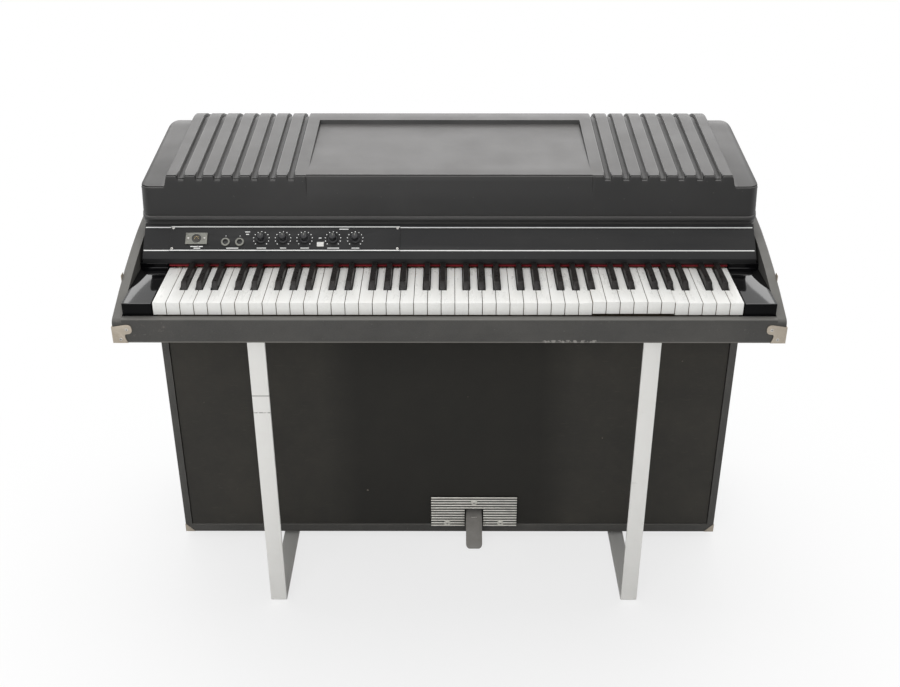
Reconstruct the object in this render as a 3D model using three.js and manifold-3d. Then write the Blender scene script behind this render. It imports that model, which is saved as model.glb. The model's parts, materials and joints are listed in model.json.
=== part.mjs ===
// Stage electric piano of 73 keys on its own speaker cabinet, with two front legs and a sustain pedal.
// Millimetres, +Z up, +X to the player's right, the player stands on the -Y side.
// The origin is on the floor, below the centre of the box that holds the whole piano.

import * as THREE from "three";
import { mergeVertices } from "three/addons/utils/BufferGeometryUtils.js";
import Module from "manifold-3d";

const wasm = await Module();
wasm.setup();

// Fits and sampling
const seat = 0.3; // gap left between pieces that touch
const overrun = 5; // how far a cutter runs past what it cuts
const journalPlay = 0.35; // radial play of a pin in its bore
const roundSides = 12; // sides of a turned piece
const pinSides = 8; // sides of a small pin or bore
const boltSides = 6;
const archSteps = 5; // steps of a short arc

// Lower case: a tray of bottom board, front rail, side walls and back wall
const caseUnderside = 640;
const bottomBoard = 12;
const caseWall = 16;
const frontRailThickness = 14;
const frontRailHeight = 44.5;
const frontRailRound = 3;
const wallNoseSetback = 8;
const wallNoseDrop = 6;
const wallRise = 53; // above the keys' tops
const wallCrestSetback = 280;
const wallBulgeSetback = 150;
const wallBulgeHeight = 105;
const lidLedgeWidth = 10;
const lidLedgeHeight = 12;

// Keys: 43 white and 30 black, E to E
const keyCount = 73;
const firstNote = 4; // E, counted in semitones from C
const octaveNoteCount = 12;
const octaveWhiteCount = 7;
const lowZoneNoteCount = 5; // C to E, over three white keys
const lowZoneWhiteCount = 3;
const noteNames = ["C", "Csharp", "D", "Dsharp", "E", "F", "Fsharp", "G", "Gsharp", "A", "Asharp", "B"];
const whitePitch = 23.586;
const keyGap = 0.9;
const keyboardOffset = 2; // of the keyboard's middle, to the left
const keyFrontSetback = 15.5;
const keyTopHeight = 69; // above the case's underside
const keyThickness = 23;
const keyCapThickness = 3;
const keyCapLength = 144;
const keyLeverEnd = 412; // setback of the levers' back ends
const leverWidth = 9.2;
const blackRise = 11.5;
const blackNose = 51; // from the white keys' front to the black keys' front
const blackSlope = 9;
const blackBaseWidth = 12.2;
const blackTopWidth = 9.4;
const blackRailGap = 2.5; // from the black caps' back ends to the name rail's lip
const pivotSetback = 230;
const movingFrom = 24; // first key with its own joint
const movingCount = 24; // two octaves

// Key frame and its rails
const frameSetback = 34;
const frameMember = 30;
const frameHeight = 12;
const frameMemberCount = 4;
const guideRailDepth = 28;
const guideRailHeight = 20;
const balanceRailDepth = 26;
const balanceRidge = 5;
const balanceSlope = 4;
const backRailDepth = 26;
const washerWidth = 5.5;
const washerShare = 0.5; // of the rail's depth
const keyBite = 0.6; // how deep a fixed key's felt washer sits in its rail

// Cheek blocks beside the keys
const cheekWidth = 53.2;
const cheekDrop = 1; // below the keys' tops
const cheekEdge = 2.5;
const cheekKeyGap = 1.4;
const cheekSetback = 14.6;
const riserSetback = 150;
const riserEnd = 200;

// Name rail, an aluminium extrusion with a slanted face
const railLipRise = 9; // above the keys' tops
const railLipHeight = 9;
const railLipOverlap = 1.5; // over the back ends of the white keys' caps
const railLipDepth = 10;
const railLipSlope = 10.5; // from the lip's top up to the foot of the face
const railFaceRun = 37;
const railFaceRise = 33;
const railTopDepth = 7;
const railHeadRise = 3.5; // from the head of the face up to the rail's top
const railThickness = 3;
const railEndGap = 6;
const feltHeight = 6.5;
const feltThickness = 3.5;

// Control plate and what is on it; places run along X and up the slanted face
const plateInset = 48; // from the rail's left end
const plateLength = 418;
const plateMargin = 1.2;
const plateThickness = 1.5;
const socketStep = 48; // each step is from the middle of the control before it
const socketRise = 24;
const socketWidth = 39.5;
const socketHeight = 22.9;
const socketThickness = 2;
const socketBore = 13.5;
const jackStep = 53.2;
const jackPitch = 25.7;
const jackRise = 17;
const jackNut = 15.5;
const jackBore = 7.5;
const jackNutHeight = 2.5;
const volumeStep = 38.9;
const bassStep = 39.5;
const trebleStep = 39.2;
const vibratoDepthStep = 22.5;
const vibratoRateStep = 40.3;
const knobRise = 24;
const knobSkirt = 19;
const knobGrip = 14;
const knobSkirtHeight = 4;
const knobHeight = 15;
const knobTaper = 1.5;
const pointerWidth = 1.4;
const pointerDepth = 0.8;
const rockerStep = 29.2;
const rockerRise = 13;
const rockerWidth = 12.5;
const rockerHeight = 8.8;
const rockerCrest = 2.8;
const rockerEdge = 1.3;
const rockerGap = 0.5;

// Lid: a moulded cover, ribbed at both sides, with a sunk panel in the middle
const lidSkin = 4;
const lidFootSink = 10; // how far the lid's ends reach down between the walls
const lidFrontInset = 2; // behind the head of the rail's face
const lidBackInset = 2; // from the case's back wall
const lidBeadProud = 5.5;
const lidBeadGap = 6; // above the rail's top
const lidBeadHeight = 11;
const lidBeadRound = 2;
const lidRidgeRun = 8; // from the foot of the front wall back to the ridge
const lidFrontWall = 71.5; // from the bead's top up to the ridge
const lidCrestRun = 140; // from the back wall forward to the crest
const lidArch = 27.5; // from the ridge up to the crest
const lidCornerRun = 15;
const lidCornerFall = 15; // below the crest
const lidCornerDrop = 20; // from the corner down to the back wall
const lidTopInset = 7; // from the case's side wall
const lidFootInset = 2;
const shoulderWidth = 43;
const shoulderStep = 13;
const shoulderDrop = 17;
const shoulderRoundWidth = 23;
const shoulderRoundDrop = 18;
const shoulderRoundSteps = 3;
const lidTopSteps = 7;
const grooveCount = 7;
const grooveLand = 15.1; // from the last groove's middle to the shoulder
const groovePitch = 33.15;
const grooveWidth = 13;
const grooveFloor = 6;
const grooveDepth = 6.5;
const panelLand = 29; // from the sunk panel to the first groove's middle
const panelFrontRun = 40; // from the lid's front wall
const panelBackRun = 94; // from the lid's back wall
const panelDepth = 8;
const frontSinkLand = 27; // from the front wall's sunk middle to the first groove's middle
const frontSinkDepth = 2.5;
const frontSinkFall = 40; // from the ridge down to where it fades out

// Harp: tone bars with their tines, pickups, hammers and dampers
const harpPlateInset = 36; // from the case's side wall
const harpPlateThickness = 6;
const harpFrontGap = 28; // behind the name rail
const harpBackGap = 42; // in front of the case's back wall
const harpRise = 62; // of the plates' tops above the keys' tops
const harpFootWidth = 14;
const harpFootHeight = 5;
const harpBeamDepth = 12;
const harpBeamHeight = 11;
const toneRailInset = 28; // from the harp's front
const toneRailDepth = 34;
const toneRailHeight = 22;
const toneBarWidth = 8;
const toneBarThickness = 4.5;
const toneBlockDepth = 14;
const toneBarLongest = 232;
const toneBarShortest = 62;
const tineShorter = 75; // the longest tine than its tone bar
const tineShortest = 18;
const tineThickness = 2.4;
const tineRise = 9.5; // above the harp frame
const pickupSize = 9;
const pickupLength = 15;
const pickupGap = 1.5;
const pickupRailHeight = 8;
const pickupRailDepth = 22;
const pickupRailSteps = 12;
const hammerRailInset = 4; // from the harp's front
const hammerRailDepth = 14;
const hammerRailRise = 7.5; // above the keys' tops
const hammerRailHeight = 19;
const hammerWidth = 6;
const hammerArm = 5;
const hammerHeadGap = 18; // behind the tone bars' rail
const hammerHeadDepth = 8;
const hammerHeadHeight = 26;
const damperRailGap = 37; // from the release bar's pivot forward to the rail
const damperRailDepth = 15;
const damperRailRise = 13; // above the keys' tops
const damperRailHeight = 12;
const damperArm = 3;
const damperRise = 19; // of the leaf from the rail to the pads
const damperPadGap = 3; // behind the hammers' heads
const damperPadDepth = 7;

// Sustain pedal: lever in the cabinet, push rod, release bar in the piano
const pedalX = 53;
const pedalWidth = 34.7;
const pedalThickness = 5;
const pedalTipReach = 62; // out of the cabinet's front
const pedalTipHeight = 20;
const pedalKneeReach = 22;
const pedalKneeHeight = 52;
const pedalShoulderHeight = 63;
const pedalFlatRun = 26; // behind the cabinet's front
const pedalHeight = 68;
const pedalPivotRun = 70; // in front of the push rod
const pedalTail = 12; // behind the push rod
const pedalPinRadius = 4;
const bracketThickness = 5;
const bracketDepth = 26;
const bracketRise = 8; // above the pedal's strip
const rodInset = 20; // from the harp's back
const rodRadius = 5;
const rodBore = 8;
const releaseReach = 38; // from the pivot back to the push rod
const releasePivotRise = 35; // above the keys' tops
const releaseBarDepth = 12;
const releaseBarHeight = 8;
const releaseLip = 22; // from the pivot to the lip's front edge
const releaseLipThickness = 3;
const releaseArmWidth = 24;
const releaseJournal = 3;

// Speaker cabinet
const cabinetDepth = 294;
const cabinetBottom = 15;
const cabinetWall = 14;
const cabinetFloor = 18;
const grilleInset = 2;
const grilleGap = 1.5;
const grilleBoard = 12;
const clothThickness = 3;
const battenWidth = 14;
const cabinetFootRadius = 16;
const cabinetFootInset = 40;
const wooferRadius = 150;
const wooferAbove = 3; // over the amplifier's top
const wooferRimWidth = 20;
const wooferMagnetRadius = 65;
const wooferDepth = 105;
const wooferRim = 8;
const wooferConeSink = 42;
const wooferMagnetDepth = 38;
const wooferSides = 12;
const wooferStandoff = 2;
const wooferBolt = 6;
const ampWidth = 190;
const ampDepth = 120;
const ampHeight = 150;
const ampFinDepth = 14;
const ampFinCount = 6;
const ampSheet = 3;
const ampFinMargin = 10;
const inletWidth = 28;
const inletHeight = 20;

// Ribbed plate round the pedal
const kickPlateWidth = 186;
const kickPlateBottom = 28;
const kickPlateHeight = 80;
const kickPlateBase = 1.5;
const kickRibCount = 12;
const kickRibProud = 1.5;
const kickRibShare = 0.55;
const kickNotchWidth = 40;
const kickNotchTop = 75;

// Legs
const legLeftInset = 230; // from the case's left side
const legRightInset = 212;
const legWidth = 32;
const legThickness = 6;
const legSetback = 72;
const legTopLength = 60;
const legFootReach = 66; // in under the cabinet
const legBend = 9;

// Corner plates on the case's lower front corners
const cornerPlateSize = 35;
const cornerPlateThickness = 1.4;
const cornerLobe = 9;
const cornerPlateFall = 4; // how much lower the plate's top is at the case's edge

// Notes, counted from 0 for each C, and keys, counted from 0 for the lowest
const allKeys = Array.from({ length: keyCount }, (_, key) => key);

function noteOf(key) {
  return (firstNote + key) % octaveNoteCount;
}

function octaveOf(key) {
  return Math.floor((firstNote + key) / octaveNoteCount);
}

function isBlackNote(note) {
  return noteNames[note].endsWith("sharp");
}

function isBlack(key) {
  return isBlackNote(noteOf(key));
}

function whitesBelow(note) {
  return noteNames.slice(0, note).filter((name, below) => !isBlackNote(below)).length;
}

// Places that follow from the sizes above: setbacks are measured from the case's front face
const whiteKeyCount = allKeys.filter((key) => !isBlack(key)).length;
const keyboardWidth = whiteKeyCount * whitePitch;
const innerHalf = keyboardWidth / 2 + cheekKeyGap + cheekWidth + seat;
const halfCase = innerHalf + caseWall;

const railLipSetback = keyFrontSetback + keyCapLength - railLipOverlap;
const railLipBottom = keyTopHeight + railLipRise;
const railLipTop = railLipBottom + railLipHeight;
const railFaceFoot = railLipSetback + railLipDepth;
const railFaceFootHeight = railLipTop + railLipSlope;
const railFaceHead = railFaceFoot + railFaceRun;
const railFaceHeadHeight = railFaceFootHeight + railFaceRise;
const railTopHeight = railFaceHeadHeight + railHeadRise;

const harpPlateX = innerHalf - harpPlateInset;
const harpPlateFront = railFaceHead + railTopDepth + harpFrontGap;
const toneRailSetback = harpPlateFront + toneRailInset;
const toneRailBack = toneRailSetback + toneRailDepth;
const harpPlateBack = toneRailBack - toneBlockDepth + toneBarLongest;
const tineLongest = toneBarLongest - tineShorter;
const hammerRailSetback = harpPlateFront + hammerRailInset;
const hammerHeadSetback = toneRailBack + hammerHeadGap;
const damperPadSetback = hammerHeadSetback + hammerHeadDepth + damperPadGap;
const rodSetback = harpPlateBack - rodInset;
const releasePivotSetback = rodSetback - releaseReach;
const damperRailSetback = releasePivotSetback - damperRailGap;
const caseDepth = harpPlateBack + harpBackGap + caseWall;

const cornerProud = seat + cornerPlateThickness;
const fromFront = (setback) => setback - (caseDepth - cornerProud) / 2;
const fromUnderside = (height) => height + caseUnderside;
const boardTop = fromUnderside(bottomBoard);
const keyTop = fromUnderside(keyTopHeight);
const keyBottom = keyTop - keyThickness;
const leverTop = keyTop - keyCapThickness;
const pivotY = fromFront(pivotSetback);
const wallHeight = keyTopHeight + wallRise;
const keyboardLeft = -keyboardOffset - keyboardWidth / 2;
const octaveZero = keyboardLeft - whitesBelow(firstNote) * whitePitch;

const railHalf = innerHalf - railEndGap;
const plateLeft = plateInset - railHalf;
const plateRight = plateLeft + plateLength;
const socketX = plateLeft + socketStep;
const jackXs = [socketX + jackStep, socketX + jackStep + jackPitch];
const volumeX = jackXs[1] + volumeStep;
const bassX = volumeX + bassStep;
const trebleX = bassX + trebleStep;
const rockerX = trebleX + rockerStep;
const vibratoDepthX = rockerX + vibratoDepthStep;
const vibratoRateX = vibratoDepthX + vibratoRateStep;

const lidBeadBottom = railTopHeight + lidBeadGap;
const lidBeadTop = lidBeadBottom + lidBeadHeight;
const lidRidgeHeight = lidBeadTop + lidFrontWall;
const lidHeight = lidRidgeHeight + lidArch;
const lidCornerHeight = lidHeight - lidCornerFall;
const lidBackHeight = lidCornerHeight - lidCornerDrop;
const lidFrontSetback = railFaceHead + lidFrontInset;
const lidBackSetback = caseDepth - caseWall - lidBackInset;
const lidRidgeSetback = lidFrontSetback + lidRidgeRun;
const lidCrestSetback = lidBackSetback - lidCrestRun;
const lidCornerSetback = lidBackSetback - lidCornerRun;
const lidHalfTop = innerHalf - lidTopInset;
const lidHalfFoot = innerHalf - lidFootInset;
const shoulderOuter = lidHalfTop - shoulderWidth;
const shoulderInner = shoulderOuter - shoulderStep;
const shoulderRoundStart = lidHalfTop - shoulderRoundWidth;
const grooveFirst = shoulderInner - grooveLand - (grooveCount - 1) * groovePitch;
const panelHalf = grooveFirst - panelLand;
const panelFront = lidFrontSetback + panelFrontRun;
const panelBack = lidBackSetback - panelBackRun;
const lidFootZ = fromUnderside(wallHeight) - lidFootSink;
const lidFrontFootZ = fromUnderside(railTopHeight) + seat;
const lidRidgeZ = fromUnderside(lidRidgeHeight);
const harpBottom = boardTop + seat;
const harpTopZ = keyTop + harpRise;
const releaseY = fromFront(releasePivotSetback);
const releaseZ = keyTop + releasePivotRise;
const pedalPivotZ = pedalHeight - pedalThickness / 2;
const wooferConeRadius = wooferRadius - wooferRimWidth;
const cabinetFront = caseDepth - cabinetDepth;
const cabinetTop = caseUnderside - seat;
const cabinetInner = halfCase - cabinetWall;
const cabinetFloorZ = cabinetBottom + cabinetFloor;
const pedalPivotY = fromFront(rodSetback - pedalPivotRun);
const wooferX = (pedalX + cabinetInner) / 2;
const wooferHeight = cabinetFloorZ + ampHeight + wooferAbove + wooferRadius;
const frontBoard = cabinetFront + grilleInset;
const rearBoard = caseDepth - grilleInset;
const boardZ = [cabinetFloorZ + grilleGap, cabinetTop - cabinetWall - grilleGap];

// Materials
function finish(color, roughness, metalness) {
  return new THREE.MeshStandardMaterial({ color, roughness, metalness });
}
const vinyl = finish(0x3a3936, 0.75, 0);
const lidPlastic = finish(0x4a4845, 0.5, 0);
const blackGloss = finish(0x101011, 0.25, 0);
const railBlack = finish(0x1d1d1e, 0.4, 0.3);
const ivory = finish(0xeeeae2, 0.3, 0);
const ebony = finish(0x17120f, 0.3, 0);
const redFelt = finish(0x8c1f24, 0.95, 0);
const nickel = finish(0xb9b0a4, 0.35, 0.9);
const aluminium = finish(0xc4c4c2, 0.4, 0.9);
const legSilver = finish(0xd2cfca, 0.45, 0.7);
const spruce = finish(0xc79f6c, 0.7, 0);
const hammerMaple = finish(0xb58f5e, 0.65, 0);
const steel = finish(0x8f9193, 0.35, 0.9);
const grilleCloth = finish(0x24231f, 0.95, 0);
const switchWhite = finish(0xe7e4dc, 0.4, 0);
const pickupBlack = finish(0x26262a, 0.5, 0.2);
const pedalGrey = finish(0x77736d, 0.5, 0.6);

// Solids
function toSolid(geometry) {
  const bare = geometry.clone();
  bare.deleteAttribute("normal");
  bare.deleteAttribute("uv");
  const merged = mergeVertices(bare, 1e-4);
  const mesh = new wasm.Mesh({
    numProp: 3,
    vertProperties: Float32Array.from(merged.attributes.position.array),
    triVerts: Uint32Array.from(merged.index.array),
  });
  return new wasm.Manifold(mesh);
}

function toGeometry(solid) {
  const mesh = solid.getMesh();
  const geometry = new THREE.BufferGeometry();
  geometry.setAttribute("position", new THREE.BufferAttribute(Float32Array.from(mesh.vertProperties), 3));
  geometry.setIndex(new THREE.BufferAttribute(Uint32Array.from(mesh.triVerts), 1));
  const flat = geometry.toNonIndexed();
  flat.computeVertexNormals();
  return flat;
}

function join(...geometries) {
  return toGeometry(geometries.map(toSolid).reduce((sum, solid) => sum.add(solid)));
}

function cut(base, ...cutters) {
  return toGeometry(cutters.map(toSolid).reduce((rest, solid) => rest.subtract(solid), toSolid(base)));
}

function common(first, second) {
  return toGeometry(toSolid(first).intersect(toSolid(second)));
}

// Shapes placed in the piano's own frame
function block(x, y, z) {
  const geometry = new THREE.BoxGeometry(x[1] - x[0], y[1] - y[0], z[1] - z[0]);
  return geometry.translate((x[0] + x[1]) / 2, (y[0] + y[1]) / 2, (z[0] + z[1]) / 2);
}

// An outline in Y and Z, run along X
function alongX(outline, left, right) {
  const geometry = new THREE.ExtrudeGeometry(outline, {
    depth: right - left,
    bevelEnabled: false,
    curveSegments: archSteps,
  });
  const turn = new THREE.Matrix4().makeBasis(
    new THREE.Vector3(0, 1, 0),
    new THREE.Vector3(0, 0, 1),
    new THREE.Vector3(1, 0, 0),
  );
  return geometry.applyMatrix4(turn).translate(left, 0, 0);
}

// An outline in X and Y, run along Z
function alongZ(outline, bottom, top) {
  const geometry = new THREE.ExtrudeGeometry(outline, {
    depth: top - bottom,
    bevelEnabled: false,
    curveSegments: archSteps,
  });
  return geometry.translate(0, 0, bottom);
}

function polygon(points) {
  return new THREE.Shape(points.map(([u, v]) => new THREE.Vector2(u, v)));
}

function rodAlongX(radius, left, right, y, z, sides) {
  const geometry = new THREE.CylinderGeometry(radius, radius, right - left, sides);
  return geometry.rotateZ(Math.PI / 2).translate((left + right) / 2, y, z);
}

function rodAlongZ(radius, bottom, top, x, y, sides) {
  const geometry = new THREE.CylinderGeometry(radius, radius, top - bottom, sides);
  return geometry.rotateX(Math.PI / 2).translate(x, y, (bottom + top) / 2);
}

// A turned piece on the Z axis from [radius, height] points
function turned(points, sides) {
  const outline = points.map(([radius, height]) => new THREE.Vector2(radius, height));
  return new THREE.LatheGeometry(outline, sides).rotateX(Math.PI / 2);
}

// A closed skin over rings of 3-D points, with both end rings filled
function loft(rings, flatten) {
  const count = rings[0].length;
  const positions = rings.flat(2);
  const index = [];
  for (let r = 0; r + 1 < rings.length; r++) {
    for (let i = 0; i < count; i++) {
      const a = r * count + i;
      const b = r * count + ((i + 1) % count);
      index.push(a, b, b + count, a, b + count, a + count);
    }
  }
  const lastRing = (rings.length - 1) * count;
  for (const [ring, start, forward] of [[rings[0], 0, false], [rings.at(-1), lastRing, true]]) {
    const contour = ring.map((point) => new THREE.Vector2(...flatten(point)));
    const clockwise = THREE.ShapeUtils.isClockWise(contour);
    const order = contour.map((_, i) => (clockwise ? count - 1 - i : i));
    const faces = THREE.ShapeUtils.triangulateShape(order.map((i) => contour[i]), []);
    for (const [a, b, c] of faces) {
      const face = [start + order[a], start + order[b], start + order[c]];
      index.push(...(forward === clockwise ? face.reverse() : face));
    }
  }
  const geometry = new THREE.BufferGeometry();
  geometry.setAttribute("position", new THREE.Float32BufferAttribute(positions, 3));
  geometry.setIndex(index);
  return outward(geometry);
}

// Turns a closed skin so that its faces point out
function outward(geometry) {
  const p = geometry.attributes.position;
  const corners = [0, 1, 2].map(() => new THREE.Vector3());
  const index = geometry.index.array;
  let volume = 0;
  for (let i = 0; i < index.length; i += 3) {
    corners.forEach((corner, k) => corner.fromBufferAttribute(p, index[i + k]));
    volume += corners[0].dot(corners[1].clone().cross(corners[2]));
  }
  if (volume < 0) geometry.setIndex([...index].reverse());
  return geometry;
}

// The assembly
const piano = new THREE.Group();
piano.name = "electric_piano";

function addPiece(name, geometry, material, parent = piano) {
  const mesh = new THREE.Mesh(geometry, material);
  mesh.name = name;
  parent.add(mesh);
  return mesh;
}

// Lower case
function wallOutline() {
  const top = caseUnderside + frontRailHeight;
  const shape = new THREE.Shape();
  shape.moveTo(fromFront(0), caseUnderside);
  shape.lineTo(fromFront(caseDepth), caseUnderside);
  shape.lineTo(fromFront(caseDepth), fromUnderside(wallHeight));
  shape.lineTo(fromFront(wallCrestSetback), fromUnderside(wallHeight));
  shape.quadraticCurveTo(
    fromFront(wallBulgeSetback), fromUnderside(wallBulgeHeight),
    fromFront(wallNoseSetback), top,
  );
  shape.quadraticCurveTo(fromFront(0), top - wallNoseDrop / 2, fromFront(0), top - 2 * wallNoseDrop);
  return shape;
}

function frontRailOutline() {
  const top = caseUnderside + frontRailHeight;
  const shape = new THREE.Shape();
  shape.moveTo(fromFront(0), caseUnderside);
  shape.lineTo(fromFront(frontRailThickness), caseUnderside);
  shape.lineTo(fromFront(frontRailThickness), top);
  shape.lineTo(fromFront(frontRailRound), top);
  shape.quadraticCurveTo(fromFront(0), top, fromFront(0), top - frontRailRound);
  return shape;
}

function lowerCase() {
  const backInner = fromFront(caseDepth - caseWall);
  const ledgeTop = lidFootZ - seat;
  const ledgeY = [fromFront(wallCrestSetback), backInner];
  const ledgeZ = [ledgeTop - lidLedgeHeight, ledgeTop];
  const tray = join(
    block([-halfCase, halfCase], [fromFront(0), fromFront(caseDepth)], [caseUnderside, boardTop]),
    alongX(wallOutline(), -halfCase, -innerHalf),
    alongX(wallOutline(), innerHalf, halfCase),
    alongX(frontRailOutline(), -innerHalf - seat, innerHalf + seat),
    block(
      [-innerHalf - seat, innerHalf + seat],
      [backInner, fromFront(caseDepth)],
      [caseUnderside, fromUnderside(wallHeight)],
    ),
    block([-innerHalf - seat, lidLedgeWidth - innerHalf], ledgeY, ledgeZ),
    block([innerHalf - lidLedgeWidth, innerHalf + seat], ledgeY, ledgeZ),
  );
  return cut(
    tray,
    rodAlongZ(rodBore, caseUnderside - overrun, boardTop + overrun, pedalX, fromFront(rodSetback), pinSides),
  );
}

// Cheek blocks: low in front, with a riser that carries the name rail
function cheekBlock(left, right) {
  const top = keyTop - cheekDrop;
  const riserTop = fromUnderside(railLipBottom) - seat;
  const shape = new THREE.Shape();
  shape.moveTo(fromFront(cheekSetback), boardTop + seat);
  shape.lineTo(fromFront(riserEnd), boardTop + seat);
  shape.lineTo(fromFront(riserEnd), riserTop);
  shape.lineTo(fromFront(riserSetback), riserTop);
  shape.lineTo(fromFront(riserSetback), top);
  shape.lineTo(fromFront(cheekSetback + cheekEdge), top);
  shape.quadraticCurveTo(fromFront(cheekSetback), top, fromFront(cheekSetback), top - cheekEdge);
  return alongX(shape, left, right);
}

// Keys
// Middle of a key's tail and lever: the seven or five notes of a zone share its white keys evenly
function tailX(key) {
  const note = noteOf(key);
  const octaveLeft = octaveZero + octaveOf(key) * octaveWhiteCount * whitePitch;
  const lowStep = (lowZoneWhiteCount * whitePitch) / lowZoneNoteCount;
  const highWhites = octaveWhiteCount - lowZoneWhiteCount;
  const highStep = (highWhites * whitePitch) / (octaveNoteCount - lowZoneNoteCount);
  if (note < lowZoneNoteCount) return octaveLeft + (note + 0.5) * lowStep;
  return octaveLeft + lowZoneWhiteCount * whitePitch + (note - lowZoneNoteCount + 0.5) * highStep;
}

// Edges of a white key's front
function whiteSpan(key) {
  const note = noteOf(key);
  const left = octaveZero + (octaveOf(key) * octaveWhiteCount + whitesBelow(note)) * whitePitch;
  return [left + keyGap / 2, left + whitePitch - keyGap / 2];
}

// A white key: a cap with a broad head and a tail between the black keys, on its wooden lever
function whiteKey(key) {
  const [left, right] = whiteSpan(key);
  const front = fromFront(keyFrontSetback);
  const notch = fromFront(keyFrontSetback + blackNose) - keyGap;
  const capEnd = fromFront(keyFrontSetback + keyCapLength);
  const leverEnd = fromFront(keyLeverEnd);
  const leverLeft = tailX(key) - leverWidth / 2;
  const leverRight = tailX(key) + leverWidth / 2;
  const clear = blackBaseWidth / 2 + keyGap;
  const tailLeft = key > 0 && isBlack(key - 1) ? tailX(key - 1) + clear : left;
  const tailRight = key < keyCount - 1 && isBlack(key + 1) ? tailX(key + 1) - clear : right;
  const cap = polygon([
    [left, front],
    [right, front],
    [right, notch],
    [tailRight, notch],
    [tailRight, capEnd],
    [tailLeft, capEnd],
    [tailLeft, notch],
    [left, notch],
  ]);
  const wood = polygon([
    [left, front],
    [right, front],
    [right, notch],
    [leverRight, notch],
    [leverRight, leverEnd],
    [leverLeft, leverEnd],
    [leverLeft, notch],
    [left, notch],
  ]);
  return join(alongZ(cap, leverTop, keyTop), alongZ(wood, keyBottom, leverTop));
}

// A black key: a tapered cap on its lever
function blackKey(key) {
  const x = tailX(key);
  const front = keyFrontSetback + blackNose;
  const capEnd = railLipSetback - blackRailGap;
  const capRing = (half, nose, z) => [
    [x - half, fromFront(nose), z],
    [x + half, fromFront(nose), z],
    [x + half, fromFront(capEnd), z],
    [x - half, fromFront(capEnd), z],
  ];
  const cap = loft(
    [
      capRing(blackBaseWidth / 2, front, leverTop - keyCapThickness),
      capRing(blackTopWidth / 2, front + blackSlope, keyTop + blackRise),
    ],
    ([u, v]) => [u, v],
  );
  const lever = block(
    [x - leverWidth / 2, x + leverWidth / 2],
    [fromFront(front + keyCapThickness), fromFront(keyLeverEnd)],
    [keyBottom, leverTop],
  );
  return join(cap, lever);
}

function keyMoves(key) {
  return key >= movingFrom && key < movingFrom + movingCount;
}

// Balance rail: keys pivot on its ridge.
// The white keys outside the moving octaves are one piece with it
function balanceRail() {
  const bottom = boardTop + seat + frameHeight + seat;
  const top = keyBottom - seat;
  const rail = alongX(
    polygon([
      [pivotY - balanceRailDepth / 2, bottom],
      [pivotY + balanceRailDepth / 2, bottom],
      [pivotY + balanceRailDepth / 2, top - balanceSlope],
      [pivotY + balanceRidge / 2, top],
      [pivotY - balanceRidge / 2, top],
      [pivotY - balanceRailDepth / 2, top - balanceSlope],
    ]),
    keyboardLeft,
    keyboardLeft + keyboardWidth,
  );
  const fixedWhites = allKeys.filter((key) => !isBlack(key) && !keyMoves(key));
  return join(rail, ...fixedWhites.map((key) => keyOnRail(key, pivotY, balanceRidge, top)));
}

// A fixed key with the felt washer that it sits on
function keyOnRail(key, y, depth, railTop) {
  const body = isBlack(key) ? blackKey(key) : whiteKey(key);
  const x = tailX(key);
  const washer = block(
    [x - washerWidth / 2, x + washerWidth / 2],
    [y - (depth * washerShare) / 2, y + (depth * washerShare) / 2],
    [railTop - keyBite, keyBottom + keyBite],
  );
  return join(body, washer);
}

// Back rail: the levers' back ends rest on it.
// The black keys outside the moving octaves are one piece with it
function backRail() {
  const bottom = boardTop + seat + frameHeight + seat;
  const top = keyBottom - seat;
  const y = [fromFront(keyLeverEnd) - backRailDepth, fromFront(keyLeverEnd)];
  const rail = block([keyboardLeft, keyboardLeft + keyboardWidth], y, [bottom, top]);
  const fixedBlacks = allKeys.filter((key) => isBlack(key) && !keyMoves(key));
  const middle = (y[0] + y[1]) / 2;
  return join(rail, ...fixedBlacks.map((key) => keyOnRail(key, middle, backRailDepth, top)));
}

// Key frame: guide rail in front, and members that run back under the other two rails
function keyFrame() {
  const bottom = boardTop + seat;
  const left = keyboardLeft;
  const right = keyboardLeft + keyboardWidth;
  const guide = block(
    [left, right],
    [fromFront(frameSetback), fromFront(frameSetback + guideRailDepth)],
    [bottom, bottom + guideRailHeight],
  );
  const step = (keyboardWidth - frameMember) / (frameMemberCount - 1);
  const members = Array.from({ length: frameMemberCount }, (_, i) =>
    block(
      [left + i * step, left + i * step + frameMember],
      [fromFront(frameSetback), fromFront(keyLeverEnd)],
      [bottom, bottom + frameHeight],
    ),
  );
  return join(guide, ...members);
}

// Name rail
function nameRailOutline() {
  const up = fromUnderside;
  return polygon([
    [fromFront(railLipSetback), up(railLipBottom)],
    [fromFront(railFaceFoot), up(railLipBottom)],
    [fromFront(railFaceFoot), up(railLipTop)],
    [fromFront(railFaceHead + railTopDepth), up(railFaceHeadHeight) - railThickness],
    [fromFront(railFaceHead + railTopDepth), up(railTopHeight)],
    [fromFront(railFaceHead + railThickness), up(railTopHeight)],
    [fromFront(railFaceHead), up(railFaceHeadHeight)],
    [fromFront(railFaceFoot), up(railFaceFootHeight)],
    [fromFront(railLipSetback + railThickness), up(railLipTop + railThickness)],
    [fromFront(railLipSetback), up(railLipTop)],
  ]);
}

const faceLength = Math.hypot(railFaceRun, railFaceRise);
const faceSlope = Math.atan2(railFaceRise, railFaceRun);

// Sink in the slanted face below the switch
function switchWell(depth) {
  const half = Math.hypot(rockerHeight / 2, rockerEdge) + rockerGap;
  return block(
    [rockerX - rockerWidth / 2 - rockerGap, rockerX + rockerWidth / 2 + rockerGap],
    [rockerRise - half, rockerRise + half],
    [-depth, plateThickness + overrun],
  );
}

// Turns a shape from the slanted face's own frame into the piano's
function onFace(geometry) {
  return geometry
    .rotateX(faceSlope)
    .translate(0, fromFront(railFaceFoot), fromUnderside(railFaceFootHeight));
}

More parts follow.
